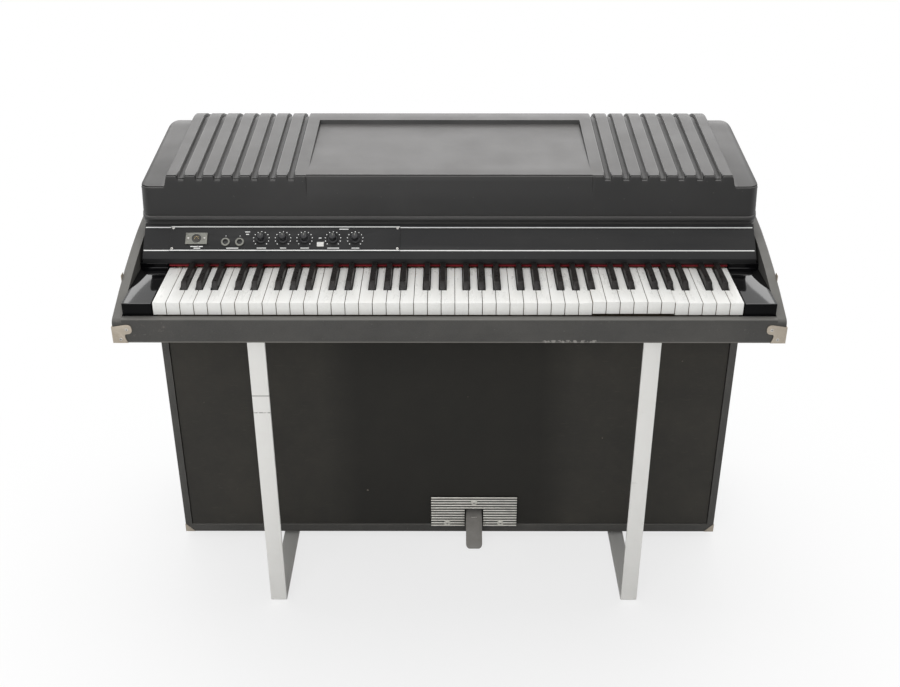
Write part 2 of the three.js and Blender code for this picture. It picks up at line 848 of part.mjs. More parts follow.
function nameRail() {
  const body = alongX(nameRailOutline(), -railHalf, railHalf);
  return cut(body, onFace(switchWell(overrun)));
}

// Parts on the slanted face, in its own frame: X along it, Y up it, Z out of it
const face = new THREE.Group();
face.position.set(0, fromFront(railFaceFoot), fromUnderside(railFaceFootHeight));
face.rotation.x = faceSlope;
piano.add(face);

function controlPlate() {
  const top = seat + plateThickness;
  const sheet = block([plateLeft, plateRight], [plateMargin, faceLength - plateMargin], [seat, top]);
  const nuts = jackXs.map((x) => rodAlongZ(jackNut / 2, seat, top + jackNutHeight, x, jackRise, roundSides));
  const bores = jackXs.map((x) =>
    rodAlongZ(jackBore / 2, top, top + jackNutHeight + overrun, x, jackRise, pinSides),
  );
  return cut(join(sheet, ...nuts), ...bores, switchWell(overrun));
}

function preampSocket() {
  const foot = seat + plateThickness + seat;
  const plate = block(
    [socketX - socketWidth / 2, socketX + socketWidth / 2],
    [socketRise - socketHeight / 2, socketRise + socketHeight / 2],
    [foot, foot + socketThickness],
  );
  const bore = rodAlongZ(socketBore / 2, foot + seat, foot + overrun, socketX, socketRise, roundSides);
  return cut(plate, bore);
}

function knob() {
  const body = turned(
    [
      [0, 0],
      [knobSkirt / 2, 0],
      [knobSkirt / 2, knobSkirtHeight / 2],
      [knobGrip / 2, knobSkirtHeight],
      [knobGrip / 2 - knobTaper, knobHeight],
      [0, knobHeight],
    ],
    roundSides,
  );
  const pointer = block(
    [-pointerWidth / 2, pointerWidth / 2],
    [0, knobGrip / 2 + overrun],
    [knobHeight - pointerDepth, knobHeight + overrun],
  );
  return cut(body, pointer);
}

// Rocker on a pin across its middle; every corner stays inside the well's half height
function rocker() {
  const half = rockerHeight / 2;
  const radius = Math.hypot(half, rockerEdge);
  const start = Math.atan2(rockerEdge, half);
  const shape = new THREE.Shape();
  shape.moveTo(half, rockerEdge);
  shape.lineTo(0, rockerCrest);
  shape.lineTo(-half, rockerEdge);
  shape.absarc(0, 0, radius, Math.PI - start, 2 * Math.PI + start, false);
  return alongX(shape, -rockerWidth / 2, rockerWidth / 2);
}

// Lid
// Height of the lid's top: an arc up to the crest, a tighter arc down from it, then the back corner
function lidTopZ(setback) {
  if (setback < lidRidgeSetback) return lidRidgeZ;
  if (setback > lidCornerSetback) {
    const share = (setback - lidCornerSetback) / (lidBackSetback - lidCornerSetback);
    return fromUnderside(lidCornerHeight + share * (lidBackHeight - lidCornerHeight));
  }
  const rising = setback < lidCrestSetback;
  const run = rising ? lidCrestSetback - lidRidgeSetback : lidCornerSetback - lidCrestSetback;
  const drop = rising ? lidArch : lidCornerFall;
  const radius = (run * run + drop * drop) / (2 * drop);
  return fromUnderside(lidHeight) - radius + Math.sqrt(radius ** 2 - (setback - lidCrestSetback) ** 2);
}

// Floor of the sunk panel: flat, from level with the lid at its front edge to deep at its back edge
function sinkFloorZ(setback) {
  const share = (setback - panelFront) / (panelBack - panelFront);
  return lidTopZ(panelFront) + share * (lidTopZ(panelBack) - panelDepth - lidTopZ(panelFront));
}

// Setbacks at which the lid's arched top is drawn
const lidTopSetbacks = Array.from(
  { length: lidTopSteps + 1 },
  (_, i) => lidRidgeSetback + (i * (lidCornerSetback - lidRidgeSetback)) / lidTopSteps,
);

// How far the ends lean out towards their foot
function endFlare(z) {
  const share = (lidRidgeZ - z) / (lidRidgeZ - lidFootZ);
  return (lidHalfFoot - lidHalfTop) * Math.min(1, Math.max(0, share));
}

function lidRing(x, outline) {
  const lean = Math.abs(x) > shoulderInner ? Math.sign(x) : 0;
  return outline.map(([setback, z]) => [x + lean * endFlare(z), fromFront(setback), z]);
}

function lidOuterOutline(drop) {
  const beadFront = lidFrontSetback - lidBeadProud;
  const step = railFaceHead + railTopDepth + seat;
  return [
    [lidFrontSetback, lidFrontFootZ],
    [lidFrontSetback, fromUnderside(lidBeadBottom)],
    [beadFront, fromUnderside(lidBeadBottom + lidBeadRound)],
    [beadFront, fromUnderside(lidBeadTop - lidBeadRound)],
    [lidFrontSetback, fromUnderside(lidBeadTop)],
    ...lidTopSetbacks.map((setback) => [setback, lidTopZ(setback) - drop]),
    [lidBackSetback, fromUnderside(lidBackHeight) - drop],
    [lidBackSetback, lidFootZ],
    [step, lidFootZ],
    [step, lidFrontFootZ],
  ];
}

function lidInnerOutline(drop) {
  const below = lidSkin + grooveDepth + drop;
  const back = lidBackSetback - lidSkin;
  const top = lidTopSetbacks.slice(1).filter((setback) => setback < back);
  const ceiling = (setback) => Math.min(lidTopZ(setback) - below, sinkFloorZ(setback) - lidSkin - drop);
  return [
    [lidFrontSetback + lidSkin, lidFootZ - overrun],
    [lidFrontSetback + lidSkin, fromUnderside(lidBeadTop)],
    [lidRidgeSetback + lidSkin, lidRidgeZ - below],
    ...top.map((setback) => [setback, ceiling(setback)]),
    [back, Math.min(fromUnderside(lidBackHeight) - below, ceiling(lidCornerSetback))],
    [back, lidFootZ - overrun],
  ];
}

// Rings from one end to the other: [distance from the middle, drop below the ribbed top]
function lidRings(halfStations, outlineOf) {
  const left = halfStations.map(([x, drop]) => [-x, drop]).reverse();
  return [...left, ...halfStations].map(([x, drop]) => lidRing(x, outlineOf(drop)));
}

function shoulderStations(inset) {
  const width = lidHalfTop - inset - shoulderRoundStart;
  const round = Array.from({ length: shoulderRoundSteps + 1 }, (_, i) => {
    const angle = (i * Math.PI) / 2 / shoulderRoundSteps;
    const drop = shoulderDrop + shoulderRoundDrop * (1 - Math.cos(angle));
    return [shoulderRoundStart + width * Math.sin(angle), drop];
  });
  return [[shoulderInner - inset, 0], [shoulderOuter - inset, shoulderDrop], ...round];
}

// Cutter for one groove, which follows the arched top from the front ridge to the back
function groove(x) {
  const setbacks = [lidRidgeSetback - overrun, ...lidTopSetbacks, lidBackSetback, lidBackSetback + overrun];
  const sideSpread = (grooveWidth - grooveFloor) / 2;
  const halfTop = grooveWidth / 2 + (sideSpread * overrun) / grooveDepth;
  return loft(
    setbacks.map((setback) => {
      const y = fromFront(setback);
      const z = lidTopZ(setback);
      return [
        [x - grooveFloor / 2, y, z - grooveDepth],
        [x + grooveFloor / 2, y, z - grooveDepth],
        [x + halfTop, y, z + overrun],
        [x - halfTop, y, z + overrun],
      ];
    }),
    ([u, , w]) => [u, w],
  );
}

// Cutter for the sunk panel
function panelSink() {
  const clear = panelDepth + overrun;
  return alongX(
    polygon([
      [fromFront(panelFront), sinkFloorZ(panelFront)],
      [fromFront(panelBack), sinkFloorZ(panelBack)],
      [fromFront(panelBack), lidTopZ(panelBack) + clear],
      [fromFront(lidCrestSetback), lidTopZ(lidCrestSetback) + clear],
      [fromFront(panelFront), lidTopZ(panelFront) + clear],
    ]),
    -panelHalf,
    panelHalf,
  );
}

// Cutter for the shallow sink in the middle of the front wall, which fades out downwards
function frontSink() {
  const fall = lidRidgeRun * (frontSinkFall / lidFrontWall);
  const half = grooveFirst - frontSinkLand;
  return alongX(
    polygon([
      [fromFront(lidRidgeSetback - fall), lidRidgeZ - frontSinkFall],
      [fromFront(lidRidgeSetback + frontSinkDepth), lidRidgeZ],
      [fromFront(lidRidgeSetback + frontSinkDepth), lidRidgeZ + overrun],
      [fromFront(lidRidgeSetback) - overrun, lidRidgeZ + overrun],
      [fromFront(lidRidgeSetback - fall) - overrun, lidRidgeZ - frontSinkFall],
    ]),
    -half,
    half,
  );
}

function lid() {
  const flattenYZ = ([, v, w]) => [v, w];
  const outer = loft(lidRings(shoulderStations(0), lidOuterOutline), flattenYZ);
  const inner = loft(lidRings(shoulderStations(lidSkin), lidInnerOutline), flattenYZ);
  const grooves = Array.from({ length: grooveCount }, (_, i) => grooveFirst + i * groovePitch);
  return cut(outer, inner, panelSink(), frontSink(), ...grooves.flatMap((x) => [groove(x), groove(-x)]));
}

// Harp frame: a plate at each end, joined by two beams
function harpFrame() {
  const outer = harpPlateX + harpPlateThickness;
  const plateY = [fromFront(harpPlateFront), fromFront(harpPlateBack)];
  const beamZ = [harpTopZ - harpBeamHeight, harpTopZ];
  const inside = [-harpPlateX - seat, harpPlateX + seat];
  const frontBeam = fromFront(toneRailSetback);
  const bores = [-1, 1].map((side) => {
    const ends = [side * (harpPlateX - overrun), side * (outer + overrun)].sort((a, b) => a - b);
    return rodAlongX(releaseJournal + journalPlay, ...ends, releaseY, releaseZ, pinSides);
  });
  const plates = [-1, 1].flatMap((side) => {
    const x = [side * harpPlateX, side * outer].sort((a, b) => a - b);
    const foot = [side * harpPlateX, side * (harpPlateX + harpFootWidth)].sort((a, b) => a - b);
    return [
      block(x, plateY, [harpBottom, harpTopZ]),
      block(foot, plateY, [harpBottom, harpBottom + harpFootHeight]),
    ];
  });
  const frame = join(
    ...plates,
    block(inside, [frontBeam, frontBeam + harpBeamDepth], beamZ),
    block(inside, [plateY[1] - harpBeamDepth, plateY[1]], beamZ),
  );
  return cut(frame, ...bores);
}

// Tone bars and tines, tuned from the longest to the shortest
const tuned = (longest, shortest, key) => longest * (shortest / longest) ** (key / (keyCount - 1));
const toneRailBottom = harpTopZ + seat;
const toneRailTop = toneRailBottom + toneRailHeight;
const tineRoot = toneRailBack + toneBlockDepth;
const tineZ = toneRailBottom + tineRise;
const tineTip = (key) => tineRoot + tuned(tineLongest, tineShortest, key);

// Plan of a strip whose back edge carries one tooth for each key
function comb(x, strip, toothWidth, tipOf) {
  const [front, back] = strip.map(fromFront);
  const teeth = allKeys.flatMap((key) => {
    const left = tailX(key) - toothWidth / 2;
    const tip = fromFront(tipOf(key));
    return [[left, back], [left, tip], [left + toothWidth, tip], [left + toothWidth, back]];
  });
  return polygon([[x[0], front], [x[0], back], ...teeth, [x[1], back], [x[1], front]]);
}

function toneBars() {
  const x = [-harpPlateX - harpPlateThickness, harpPlateX + harpPlateThickness];
  const strip = [toneRailSetback, toneRailBack];
  const barEnd = (key) => toneRailBack - toneBlockDepth + tuned(toneBarLongest, toneBarShortest, key);
  const barBottom = toneRailTop - toneBarThickness;
  const tineBottom = tineZ - tineThickness / 2;
  return join(
    block(x, strip.map(fromFront), [toneRailBottom, tineBottom]),
    alongZ(comb(x, strip, tineThickness, tineTip), tineBottom, tineBottom + tineThickness),
    block(x, strip.map(fromFront), [tineBottom + tineThickness, barBottom]),
    alongZ(comb(x, strip, toneBarWidth, barEnd), barBottom, toneRailTop),
  );
}

// Pickup rail: its curved plan follows the tips of the tines
function pickupRail() {
  const half = harpPlateX - seat;
  const top = tineZ - pickupSize / 2 + seat;
  const keys = Array.from(
    { length: pickupRailSteps + 1 },
    (_, i) => (i * (keyCount - 1)) / pickupRailSteps,
  );
  const xOf = (key) => -half + (2 * half * key) / (keyCount - 1);
  const plan = polygon([
    ...keys.map((key) => [xOf(key), fromFront(tineTip(key))]),
    ...keys.map((key) => [xOf(key), fromFront(tineTip(key) + pickupRailDepth)]).reverse(),
  ]);
  const pickups = allKeys.map((key) => {
    const x = tailX(key);
    const front = fromFront(tineTip(key) + pickupGap);
    return block(
      [x - pickupSize / 2, x + pickupSize / 2],
      [front, front + pickupLength],
      [top - seat, top + pickupSize],
    );
  });
  return join(alongZ(plan, top - pickupRailHeight, top), ...pickups);
}

// Hammers at rest on their rail: each rises from its arm to its head
function hammerRail() {
  const bottom = keyTop + hammerRailRise;
  const back = hammerRailSetback + hammerRailDepth;
  const tip = hammerHeadSetback + hammerHeadDepth;
  const x = [-harpPlateX + seat, harpPlateX - seat];
  const plan = comb(x, [hammerRailSetback, back], hammerWidth, () => tip);
  const side = polygon([
    [fromFront(hammerRailSetback), bottom],
    [fromFront(tip), bottom],
    [fromFront(tip), bottom + hammerHeadHeight],
    [fromFront(back), bottom + hammerArm],
    [fromFront(back), bottom + hammerRailHeight],
    [fromFront(hammerRailSetback), bottom + hammerRailHeight],
  ]);
  return common(
    alongZ(plan, bottom - overrun, bottom + hammerHeadHeight + overrun),
    alongX(side, x[0] - overrun, x[1] + overrun),
  );
}

// Damper rail: one sprung leaf runs from it to the felt pads under the tines.
// The highest tines are too short for a damper
function damperRail() {
  const bottom = keyTop + damperRailRise;
  const padBack = damperPadSetback + damperPadDepth;
  const padTop = tineZ - tineThickness / 2 - seat;
  const left = -harpPlateX + seat;
  const damped = allKeys.filter((key) => tineTip(key) > padBack + pickupGap);
  const lastX = tailX(damped.at(-1)) + toneBarWidth / 2;
  const rail = block(
    [left, -left],
    [fromFront(damperRailSetback), fromFront(damperRailSetback + damperRailDepth)],
    [bottom, bottom + damperRailHeight],
  );
  const leaf = polygon([
    [fromFront(damperRailSetback) + seat, bottom],
    [fromFront(damperRailSetback) + seat, bottom + damperArm],
    [fromFront(padBack), bottom + damperRise + damperArm],
    [fromFront(padBack), padTop],
    [fromFront(damperPadSetback), padTop],
    [fromFront(damperPadSetback), bottom + damperRise],
  ]);
  return join(rail, alongX(leaf, left, lastX));
}

// Release bar: journals at both ends, a lip over the damper arms, and an arm that the push rod lifts
function releaseBar() {
  const half = harpPlateX - seat;
  const outer = harpPlateX + harpPlateThickness;
  const barY = [releaseY - releaseBarDepth / 2, releaseY + releaseBarDepth / 2];
  const barZ = [releaseZ - releaseBarHeight / 2, releaseZ + releaseBarHeight / 2];
  const lipZ = [releaseZ - releaseLipThickness / 2, releaseZ + releaseLipThickness / 2];
  const armEnd = fromFront(rodSetback) + rodRadius;
  return join(
    block([-half, half], barY, barZ),
    block([-half, half], [releaseY - releaseLip, releaseY], lipZ),
    block([pedalX - releaseArmWidth / 2, pedalX + releaseArmWidth / 2], [releaseY, armEnd], lipZ),
    rodAlongX(releaseJournal, -outer, outer, releaseY, releaseZ, pinSides),
  );
}

function pedalRod() {
  const bottom = pedalHeight + seat;
  const top = releaseZ - releaseLipThickness / 2 - seat;
  return rodAlongZ(rodRadius, bottom, top, pedalX, fromFront(rodSetback), pinSides);
}

// Sustain pedal: one bent steel strip on a cross pin
function sustainPedal() {
  const under = (points) => points.map(([setback, z]) => [setback, z - pedalThickness]).reverse();
  const top = [
    [cabinetFront - pedalTipReach, pedalTipHeight],
    [cabinetFront - pedalKneeReach, pedalKneeHeight],
    [cabinetFront, pedalShoulderHeight],
    [cabinetFront + pedalFlatRun, pedalHeight],
    [rodSetback + pedalTail, pedalHeight],
  ];
  const outline = polygon([...top, ...under(top)].map(([setback, z]) => [fromFront(setback), z]));
  const strip = alongX(outline, pedalX - pedalWidth / 2, pedalX + pedalWidth / 2);
  const reach = pedalWidth / 2 + seat + bracketThickness;
  const pin = rodAlongX(pedalPinRadius, pedalX - reach, pedalX + reach, pedalPivotY, pedalPivotZ, pinSides);
  return join(strip, pin);
}

// Speaker cabinet: floor, sides and top, with battens for both boards and the pedal's bracket
function cabinetShell() {
  const yFront = fromFront(cabinetFront);
  const yBack = fromFront(caseDepth);
  const inside = [-cabinetInner, cabinetInner];
  const room = block(
    inside,
    [yFront - overrun, yBack + overrun],
    [cabinetFloorZ, cabinetTop - cabinetWall],
  );
  const shell = cut(block([-halfCase, halfCase], [yFront, yBack], [cabinetBottom, cabinetTop]), room);
  const battens = [frontBoard + grilleBoard + seat, rearBoard - grilleBoard - seat - battenWidth].flatMap(
    (setback) => {
      const y = [fromFront(setback), fromFront(setback + battenWidth)];
      const low = cabinetTop - cabinetWall - battenWidth;
      return [
        block([-cabinetInner - seat, battenWidth - cabinetInner], y, [cabinetFloorZ, low + battenWidth]),
        block([cabinetInner - battenWidth, cabinetInner + seat], y, [cabinetFloorZ, low + battenWidth]),
        block(inside, y, [low, low + battenWidth + seat]),
      ];
    },
  );
  const cheeks = [-1, 1].map((side) => {
    const near = pedalX + side * (pedalWidth / 2 + seat);
    const x = [near, near + side * bracketThickness].sort((a, b) => a - b);
    const y = [pedalPivotY - bracketDepth / 2, pedalPivotY + bracketDepth / 2];
    return block(x, y, [cabinetFloorZ - seat, pedalHeight + bracketRise]);
  });
  const feetX = [cabinetFootInset - halfCase, halfCase - cabinetFootInset];
  const feetY = [yFront + cabinetFootInset, yBack - cabinetFootInset];
  const feet = feetX.flatMap((x) =>
    feetY.map((y) => rodAlongZ(cabinetFootRadius, 0, cabinetBottom + seat, x, y, roundSides)),
  );
  const bore = pedalPinRadius + journalPlay;
  const reach = pedalWidth / 2 + bracketThickness + overrun;
  const pinHole = rodAlongX(bore, pedalX - reach, pedalX + reach, pedalPivotY, pedalPivotZ, pinSides);
  const rodHoleZ = [cabinetTop - cabinetWall - overrun, cabinetTop + overrun];
  const rodHole = rodAlongZ(rodBore, ...rodHoleZ, pedalX, fromFront(rodSetback), pinSides);
  return cut(join(shell, ...battens, ...cheeks, ...feet), pinHole, rodHole);
}

// A speaker that looks along -Y, its rim at Y zero
function woofer() {
  const profile = [
    [0, wooferConeSink],
    [wooferConeRadius, 0],
    [wooferRadius, 0],
    [wooferRadius, wooferRim],
    [wooferMagnetRadius, wooferDepth - wooferMagnetDepth],
    [wooferMagnetRadius, wooferDepth],
    [0, wooferDepth],
  ];
  return turned(profile, wooferSides).rotateX(-Math.PI / 2);
}

// Bolt that holds a speaker's rim off the rear board
function wooferBoltAt(x, z, rimY) {
  const length = wooferRim / 2 + wooferStandoff + seat;
  return new THREE.CylinderGeometry(wooferBolt / 2, wooferBolt / 2, length, boltSides).translate(
    x, rimY - wooferRim / 2 + length / 2, z,
  );
}

// Baffle board of cloth over wood, hollowed behind the cloth at each speaker
function boardWithSinks(y, z, sinkFrom, sinkTo) {
  const half = cabinetInner - grilleGap;
  const board = block([-half, half], y, z);
  const sinks = [-wooferX, wooferX].map((x) =>
    new THREE.CylinderGeometry(wooferConeRadius, wooferConeRadius, Math.abs(sinkTo - sinkFrom), wooferSides)
      .translate(x, (sinkFrom + sinkTo) / 2, wooferHeight),
  );
  return cut(board, ...sinks);
}

function frontGrille() {
  const y = [fromFront(frontBoard), fromFront(frontBoard + grilleBoard)];
  const board = boardWithSinks(y, boardZ, y[0] + clothThickness, y[1] + overrun);
  const slot = block(
    [pedalX - kickNotchWidth / 2, pedalX + kickNotchWidth / 2],
    [y[0] - overrun, y[1] + overrun],
    [boardZ[0] - overrun, kickNotchTop],
  );
  return cut(board, slot);
}

function rearGrille() {
  const y = [fromFront(rearBoard - grilleBoard), fromFront(rearBoard)];
  const board = boardWithSinks(y, boardZ, y[0] - overrun, y[1] - clothThickness);
  const window = block(
    [-ampWidth - grilleGap, grilleGap],
    [y[0] - overrun, y[1] + overrun],
    [boardZ[0] - overrun, cabinetFloorZ + ampHeight + grilleGap],
  );
  const rimY = y[0] - wooferStandoff;
  const speakers = [-wooferX, wooferX].map((x) => woofer().rotateZ(Math.PI).translate(x, rimY, wooferHeight));
  const boltReach = wooferRadius - wooferBolt;
  const bolts = [-wooferX, wooferX].flatMap((x) =>
    [-1, 1].flatMap((side) => [
      wooferBoltAt(x + side * boltReach, wooferHeight, rimY),
      wooferBoltAt(x, wooferHeight + side * boltReach, rimY),
    ]),
  );
  return join(cut(board, window), ...speakers, ...bolts);
}

// Amplifier on the cabinet's floor, its finned back in the rear board's window.
// Its right side is in the middle of the cabinet
function amplifier() {
  const back = fromFront(rearBoard);
  const front = back - ampDepth;
  const bottom = cabinetFloorZ + seat;
  const top = cabinetFloorZ + ampHeight;
  const finStep = (ampWidth - 2 * ampFinMargin - inletWidth) / ampFinCount;
  const fins = Array.from({ length: ampFinCount }, (_, i) => {
    const x = ampFinMargin - ampWidth + i * finStep;
    return block(
      [x, x + ampSheet],
      [back - ampFinDepth - seat, back],
      [bottom + ampFinMargin, top - ampFinMargin],
    );
  });
  const body = block([-ampWidth, 0], [front, back - ampFinDepth], [bottom, top]);
  const inletRight = -ampFinMargin;
  const inletZ = [bottom + ampFinMargin, bottom + ampFinMargin + inletHeight];
  const frame = block(
    [inletRight - inletWidth - ampSheet, inletRight + ampSheet],
    [back - ampFinDepth - seat, back],
    [inletZ[0] - ampSheet, inletZ[1] + ampSheet],
  );
  const recess = block([inletRight - inletWidth, inletRight], [back - ampFinDepth, back + overrun], inletZ);
  return cut(join(body, frame, ...fins), recess);
}

// Ribbed plate on the cabinet's lower front rail, notched for the pedal
function kickPlate() {
  const back = fromFront(cabinetFront) - seat;
  const pitch = kickPlateHeight / kickRibCount;
  const base = back - kickPlateBase;
  const ribs = Array.from({ length: kickRibCount }, (_, i) => {
    const z = kickPlateBottom + kickPlateHeight - i * pitch;
    return [
      [base - kickRibProud, z - pitch * kickRibShare],
      [base, z - pitch],
    ];
  });
  const outline = polygon([
    [back, kickPlateBottom],
    [back, kickPlateBottom + kickPlateHeight],
    [base, kickPlateBottom + kickPlateHeight],
    ...ribs.flat(),
  ]);
  const plate = alongX(outline, pedalX - kickPlateWidth / 2, pedalX + kickPlateWidth / 2);
  const notch = block(
    [pedalX - kickNotchWidth / 2, pedalX + kickNotchWidth / 2],
    [base - kickRibProud - overrun, back + overrun],
    [kickPlateBottom - overrun, kickNotchTop],
  );
  return cut(plate, notch);
}

// Leg: a flat bar bent at both ends, its foot running back under the cabinet
function leg(x) {
  const front = fromFront(legSetback);
  const footEnd = fromFront(cabinetFront + legFootReach);
  const inner = front + legThickness;
  const top = caseUnderside - seat;
  const shape = new THREE.Shape();
  shape.moveTo(footEnd, 0);
  shape.lineTo(footEnd, legThickness);
  shape.lineTo(inner + legBend, legThickness);
  shape.quadraticCurveTo(inner, legThickness, inner, legThickness + legBend);
  shape.lineTo(inner, top - legThickness - legBend);
  shape.quadraticCurveTo(inner, top - legThickness, inner + legBend, top - legThickness);
  shape.lineTo(front + legTopLength, top - legThickness);
  shape.lineTo(front + legTopLength, top);
  shape.lineTo(front + legBend, top);
  shape.quadraticCurveTo(front, top, front, top - legBend);
  shape.lineTo(front, legBend);
  shape.quadraticCurveTo(front, 0, front + legBend, 0);
  return alongX(shape, x - legWidth / 2, x + legWidth / 2);
}

// Corner plate: a front leaf with a lobe at each screw, and a plain leaf round the side
function cornerPlate(side) {
  const edge = halfCase + seat;
  const outer = edge + cornerPlateThickness;
  const frontY = fromFront(0) - seat;
  const bottom = caseUnderside;
  const size = cornerPlateSize;
  const shape = new THREE.Shape();
  shape.moveTo(side * outer, bottom);
  shape.lineTo(side * (outer - size + cornerLobe), bottom);
  shape.quadraticCurveTo(
    side * (outer - size / 2), bottom + size / 2,
    side * (outer - size + cornerLobe), bottom + size - 2 * cornerLobe,
  );
  shape.quadraticCurveTo(
    side * (outer - size), bottom + size - 2 * cornerLobe,
    side * (outer - size), bottom + size - cornerLobe,
  );
  shape.quadraticCurveTo(
    side * (outer - size), bottom + size,
    side * (outer - size + cornerLobe), bottom + size,
  );
  shape.lineTo(side * outer, bottom + size - cornerPlateFall);
  const front = new THREE.ExtrudeGeometry(shape, {
    depth: cornerPlateThickness,
    bevelEnabled: false,
    curveSegments: archSteps,
  });
  front.rotateX(Math.PI / 2).translate(0, frontY, 0);
  const x = [side * edge, side * outer].sort((a, b) => a - b);
  const leaf = block(
    x,
    [frontY - cornerPlateThickness, frontY + size],
    [bottom, bottom + size - cornerPlateFall],
  );
  return join(front, leaf);
}

// Felt strip that hangs from the name rail behind the keys' tops
function railFelt() {
  const top = fromUnderside(railLipBottom) - seat;
  const front = keyFrontSetback + keyCapLength + seat;
  return block(
    [keyboardLeft, keyboardLeft + keyboardWidth],
    [fromFront(front), fromFront(front + feltThickness)],
    [top - feltHeight, top],
  );
}

// All pieces, from the floor up
addPiece("cabinet_shell", cabinetShell(), vinyl);
addPiece("front_grille", frontGrille(), grilleCloth);
addPiece("rear_grille", rearGrille(), grilleCloth);
for (const [name, x] of [["woofer_left", -wooferX], ["woofer_right", wooferX]]) {
  const rimY = fromFront(frontBoard + grilleBoard) + seat;
  addPiece(name, woofer(), pickupBlack).position.set(x, rimY, wooferHeight);
}
addPiece("amplifier", amplifier(), aluminium);
addPiece("kick_plate", kickPlate(), aluminium);
addPiece("sustain_pedal", sustainPedal(), pedalGrey);
addPiece("pedal_rod", pedalRod(), steel);
addPiece("leg_left", leg(legLeftInset - halfCase), legSilver);
addPiece("leg_right", leg(halfCase - legRightInset), legSilver);

addPiece("lower_case", lowerCase(), vinyl);
addPiece("case_corner_left", cornerPlate(-1), nickel);
addPiece("case_corner_right", cornerPlate(1), nickel);
const cheekOuter = innerHalf - seat;
addPiece("cheek_block_left", cheekBlock(-cheekOuter, keyboardLeft - cheekKeyGap), blackGloss);
addPiece("cheek_block_right", cheekBlock(keyboardLeft + keyboardWidth + cheekKeyGap, cheekOuter), blackGloss);

addPiece("key_frame", keyFrame(), spruce);
addPiece("balance_rail", balanceRail(), ivory);
addPiece("back_rail", backRail(), ebony);
for (const key of allKeys.filter(keyMoves)) {
  const black = isBlack(key);
  const name = `key_${noteNames[noteOf(key)]}${octaveOf(key) + 1}`;
  addPiece(name, black ? blackKey(key) : whiteKey(key), black ? ebony : ivory);
}

addPiece("name_rail", nameRail(), railBlack);
addPiece("rail_felt", railFelt(), redFelt);
addPiece("control_plate", controlPlate(), railBlack, face);
addPiece("preamp_socket", preampSocket(), aluminium, face);
const knobFoot = 2 * seat + plateThickness;
for (const [name, x] of [
  ["knob_volume", volumeX],
  ["knob_bass", bassX],
  ["knob_treble", trebleX],
  ["knob_vibrato_depth", vibratoDepthX],
  ["knob_vibrato_rate", vibratoRateX],
]) {
  addPiece(name, knob(), pickupBlack, face).position.set(x, knobRise, knobFoot);
}
const vibratoSwitch = addPiece("vibrato_switch", rocker(), switchWhite, face);
vibratoSwitch.position.set(rockerX, rockerRise, seat + plateThickness);

addPiece("harp_frame", harpFrame(), aluminium);
addPiece("tone_bars", toneBars(), steel);
addPiece("pickup_rail", pickupRail(), pickupBlack);
addPiece("hammer_rail", hammerRail(), hammerMaple);
addPiece("damper_rail", damperRail(), aluminium);
addPiece("release_bar", releaseBar(), steel);
addPiece("lid", lid(), lidPlastic);

export default piano;
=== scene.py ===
"""Stage electric piano: finishes, lid, key tops, rail print and fittings around its fixed frame."""
import json
import math

import bpy
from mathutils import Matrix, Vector

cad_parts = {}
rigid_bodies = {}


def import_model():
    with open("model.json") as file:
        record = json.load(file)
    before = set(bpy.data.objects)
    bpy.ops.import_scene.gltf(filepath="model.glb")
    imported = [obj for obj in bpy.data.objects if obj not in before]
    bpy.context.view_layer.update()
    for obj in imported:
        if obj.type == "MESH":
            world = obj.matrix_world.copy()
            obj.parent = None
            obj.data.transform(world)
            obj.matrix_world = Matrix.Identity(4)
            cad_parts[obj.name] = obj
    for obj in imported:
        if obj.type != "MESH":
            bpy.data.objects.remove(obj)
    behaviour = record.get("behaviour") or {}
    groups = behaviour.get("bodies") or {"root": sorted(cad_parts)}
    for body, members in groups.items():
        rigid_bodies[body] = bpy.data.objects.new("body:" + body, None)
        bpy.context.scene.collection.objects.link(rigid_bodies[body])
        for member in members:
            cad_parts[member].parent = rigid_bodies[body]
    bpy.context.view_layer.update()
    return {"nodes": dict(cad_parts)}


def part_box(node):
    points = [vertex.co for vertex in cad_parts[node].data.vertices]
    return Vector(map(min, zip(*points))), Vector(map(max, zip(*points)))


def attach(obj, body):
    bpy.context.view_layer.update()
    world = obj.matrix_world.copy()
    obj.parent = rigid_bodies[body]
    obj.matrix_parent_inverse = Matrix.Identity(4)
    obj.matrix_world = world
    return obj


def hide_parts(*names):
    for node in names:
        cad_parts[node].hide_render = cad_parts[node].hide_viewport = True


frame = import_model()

MM = 0.001
FIXED = "piano"
SIDES = (("left", -1), ("right", 1))

# Places that follow from the frame
CASE_LOW, CASE_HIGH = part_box("lower_case")
CASE_FRONT, CASE_UNDERSIDE, HALF_CASE = CASE_LOW.y, CASE_LOW.z, CASE_HIGH.x
RAIL_FOOT, RAIL_HEAD = (168, 97.5), (205, 130.5)
RAIL_SLOPE = math.atan2(RAIL_HEAD[1] - RAIL_FOOT[1], RAIL_HEAD[0] - RAIL_FOOT[0])
RAIL_OUT = (0, -math.sin(RAIL_SLOPE), math.cos(RAIL_SLOPE))


def mm(*lengths):
    """Millimetres turned into metres."""
    return tuple(length * MM for length in lengths)


def from_front(setback):
    """Y of a place so many millimetres behind the case's front face."""
    return CASE_FRONT + setback * MM


def from_underside(height):
    """Z of a place so many millimetres above the case's underside."""
    return CASE_UNDERSIDE + height * MM


def on_rail(x, rise, out):
    """A point on the name rail's slanted face, in millimetres along it, up it and out of it."""
    y = from_front(RAIL_FOOT[0]) + (rise * math.cos(RAIL_SLOPE) - out * math.sin(RAIL_SLOPE)) * MM
    z = from_underside(RAIL_FOOT[1]) + (rise * math.sin(RAIL_SLOPE) + out * math.cos(RAIL_SLOPE)) * MM
    return Vector((x * MM, y, z))


def share_between(place, low, high):
    """0 at the low place, 1 at the high one, and no less or more beyond them."""
    return min(1.0, max(0.0, (place - low) / (high - low)))


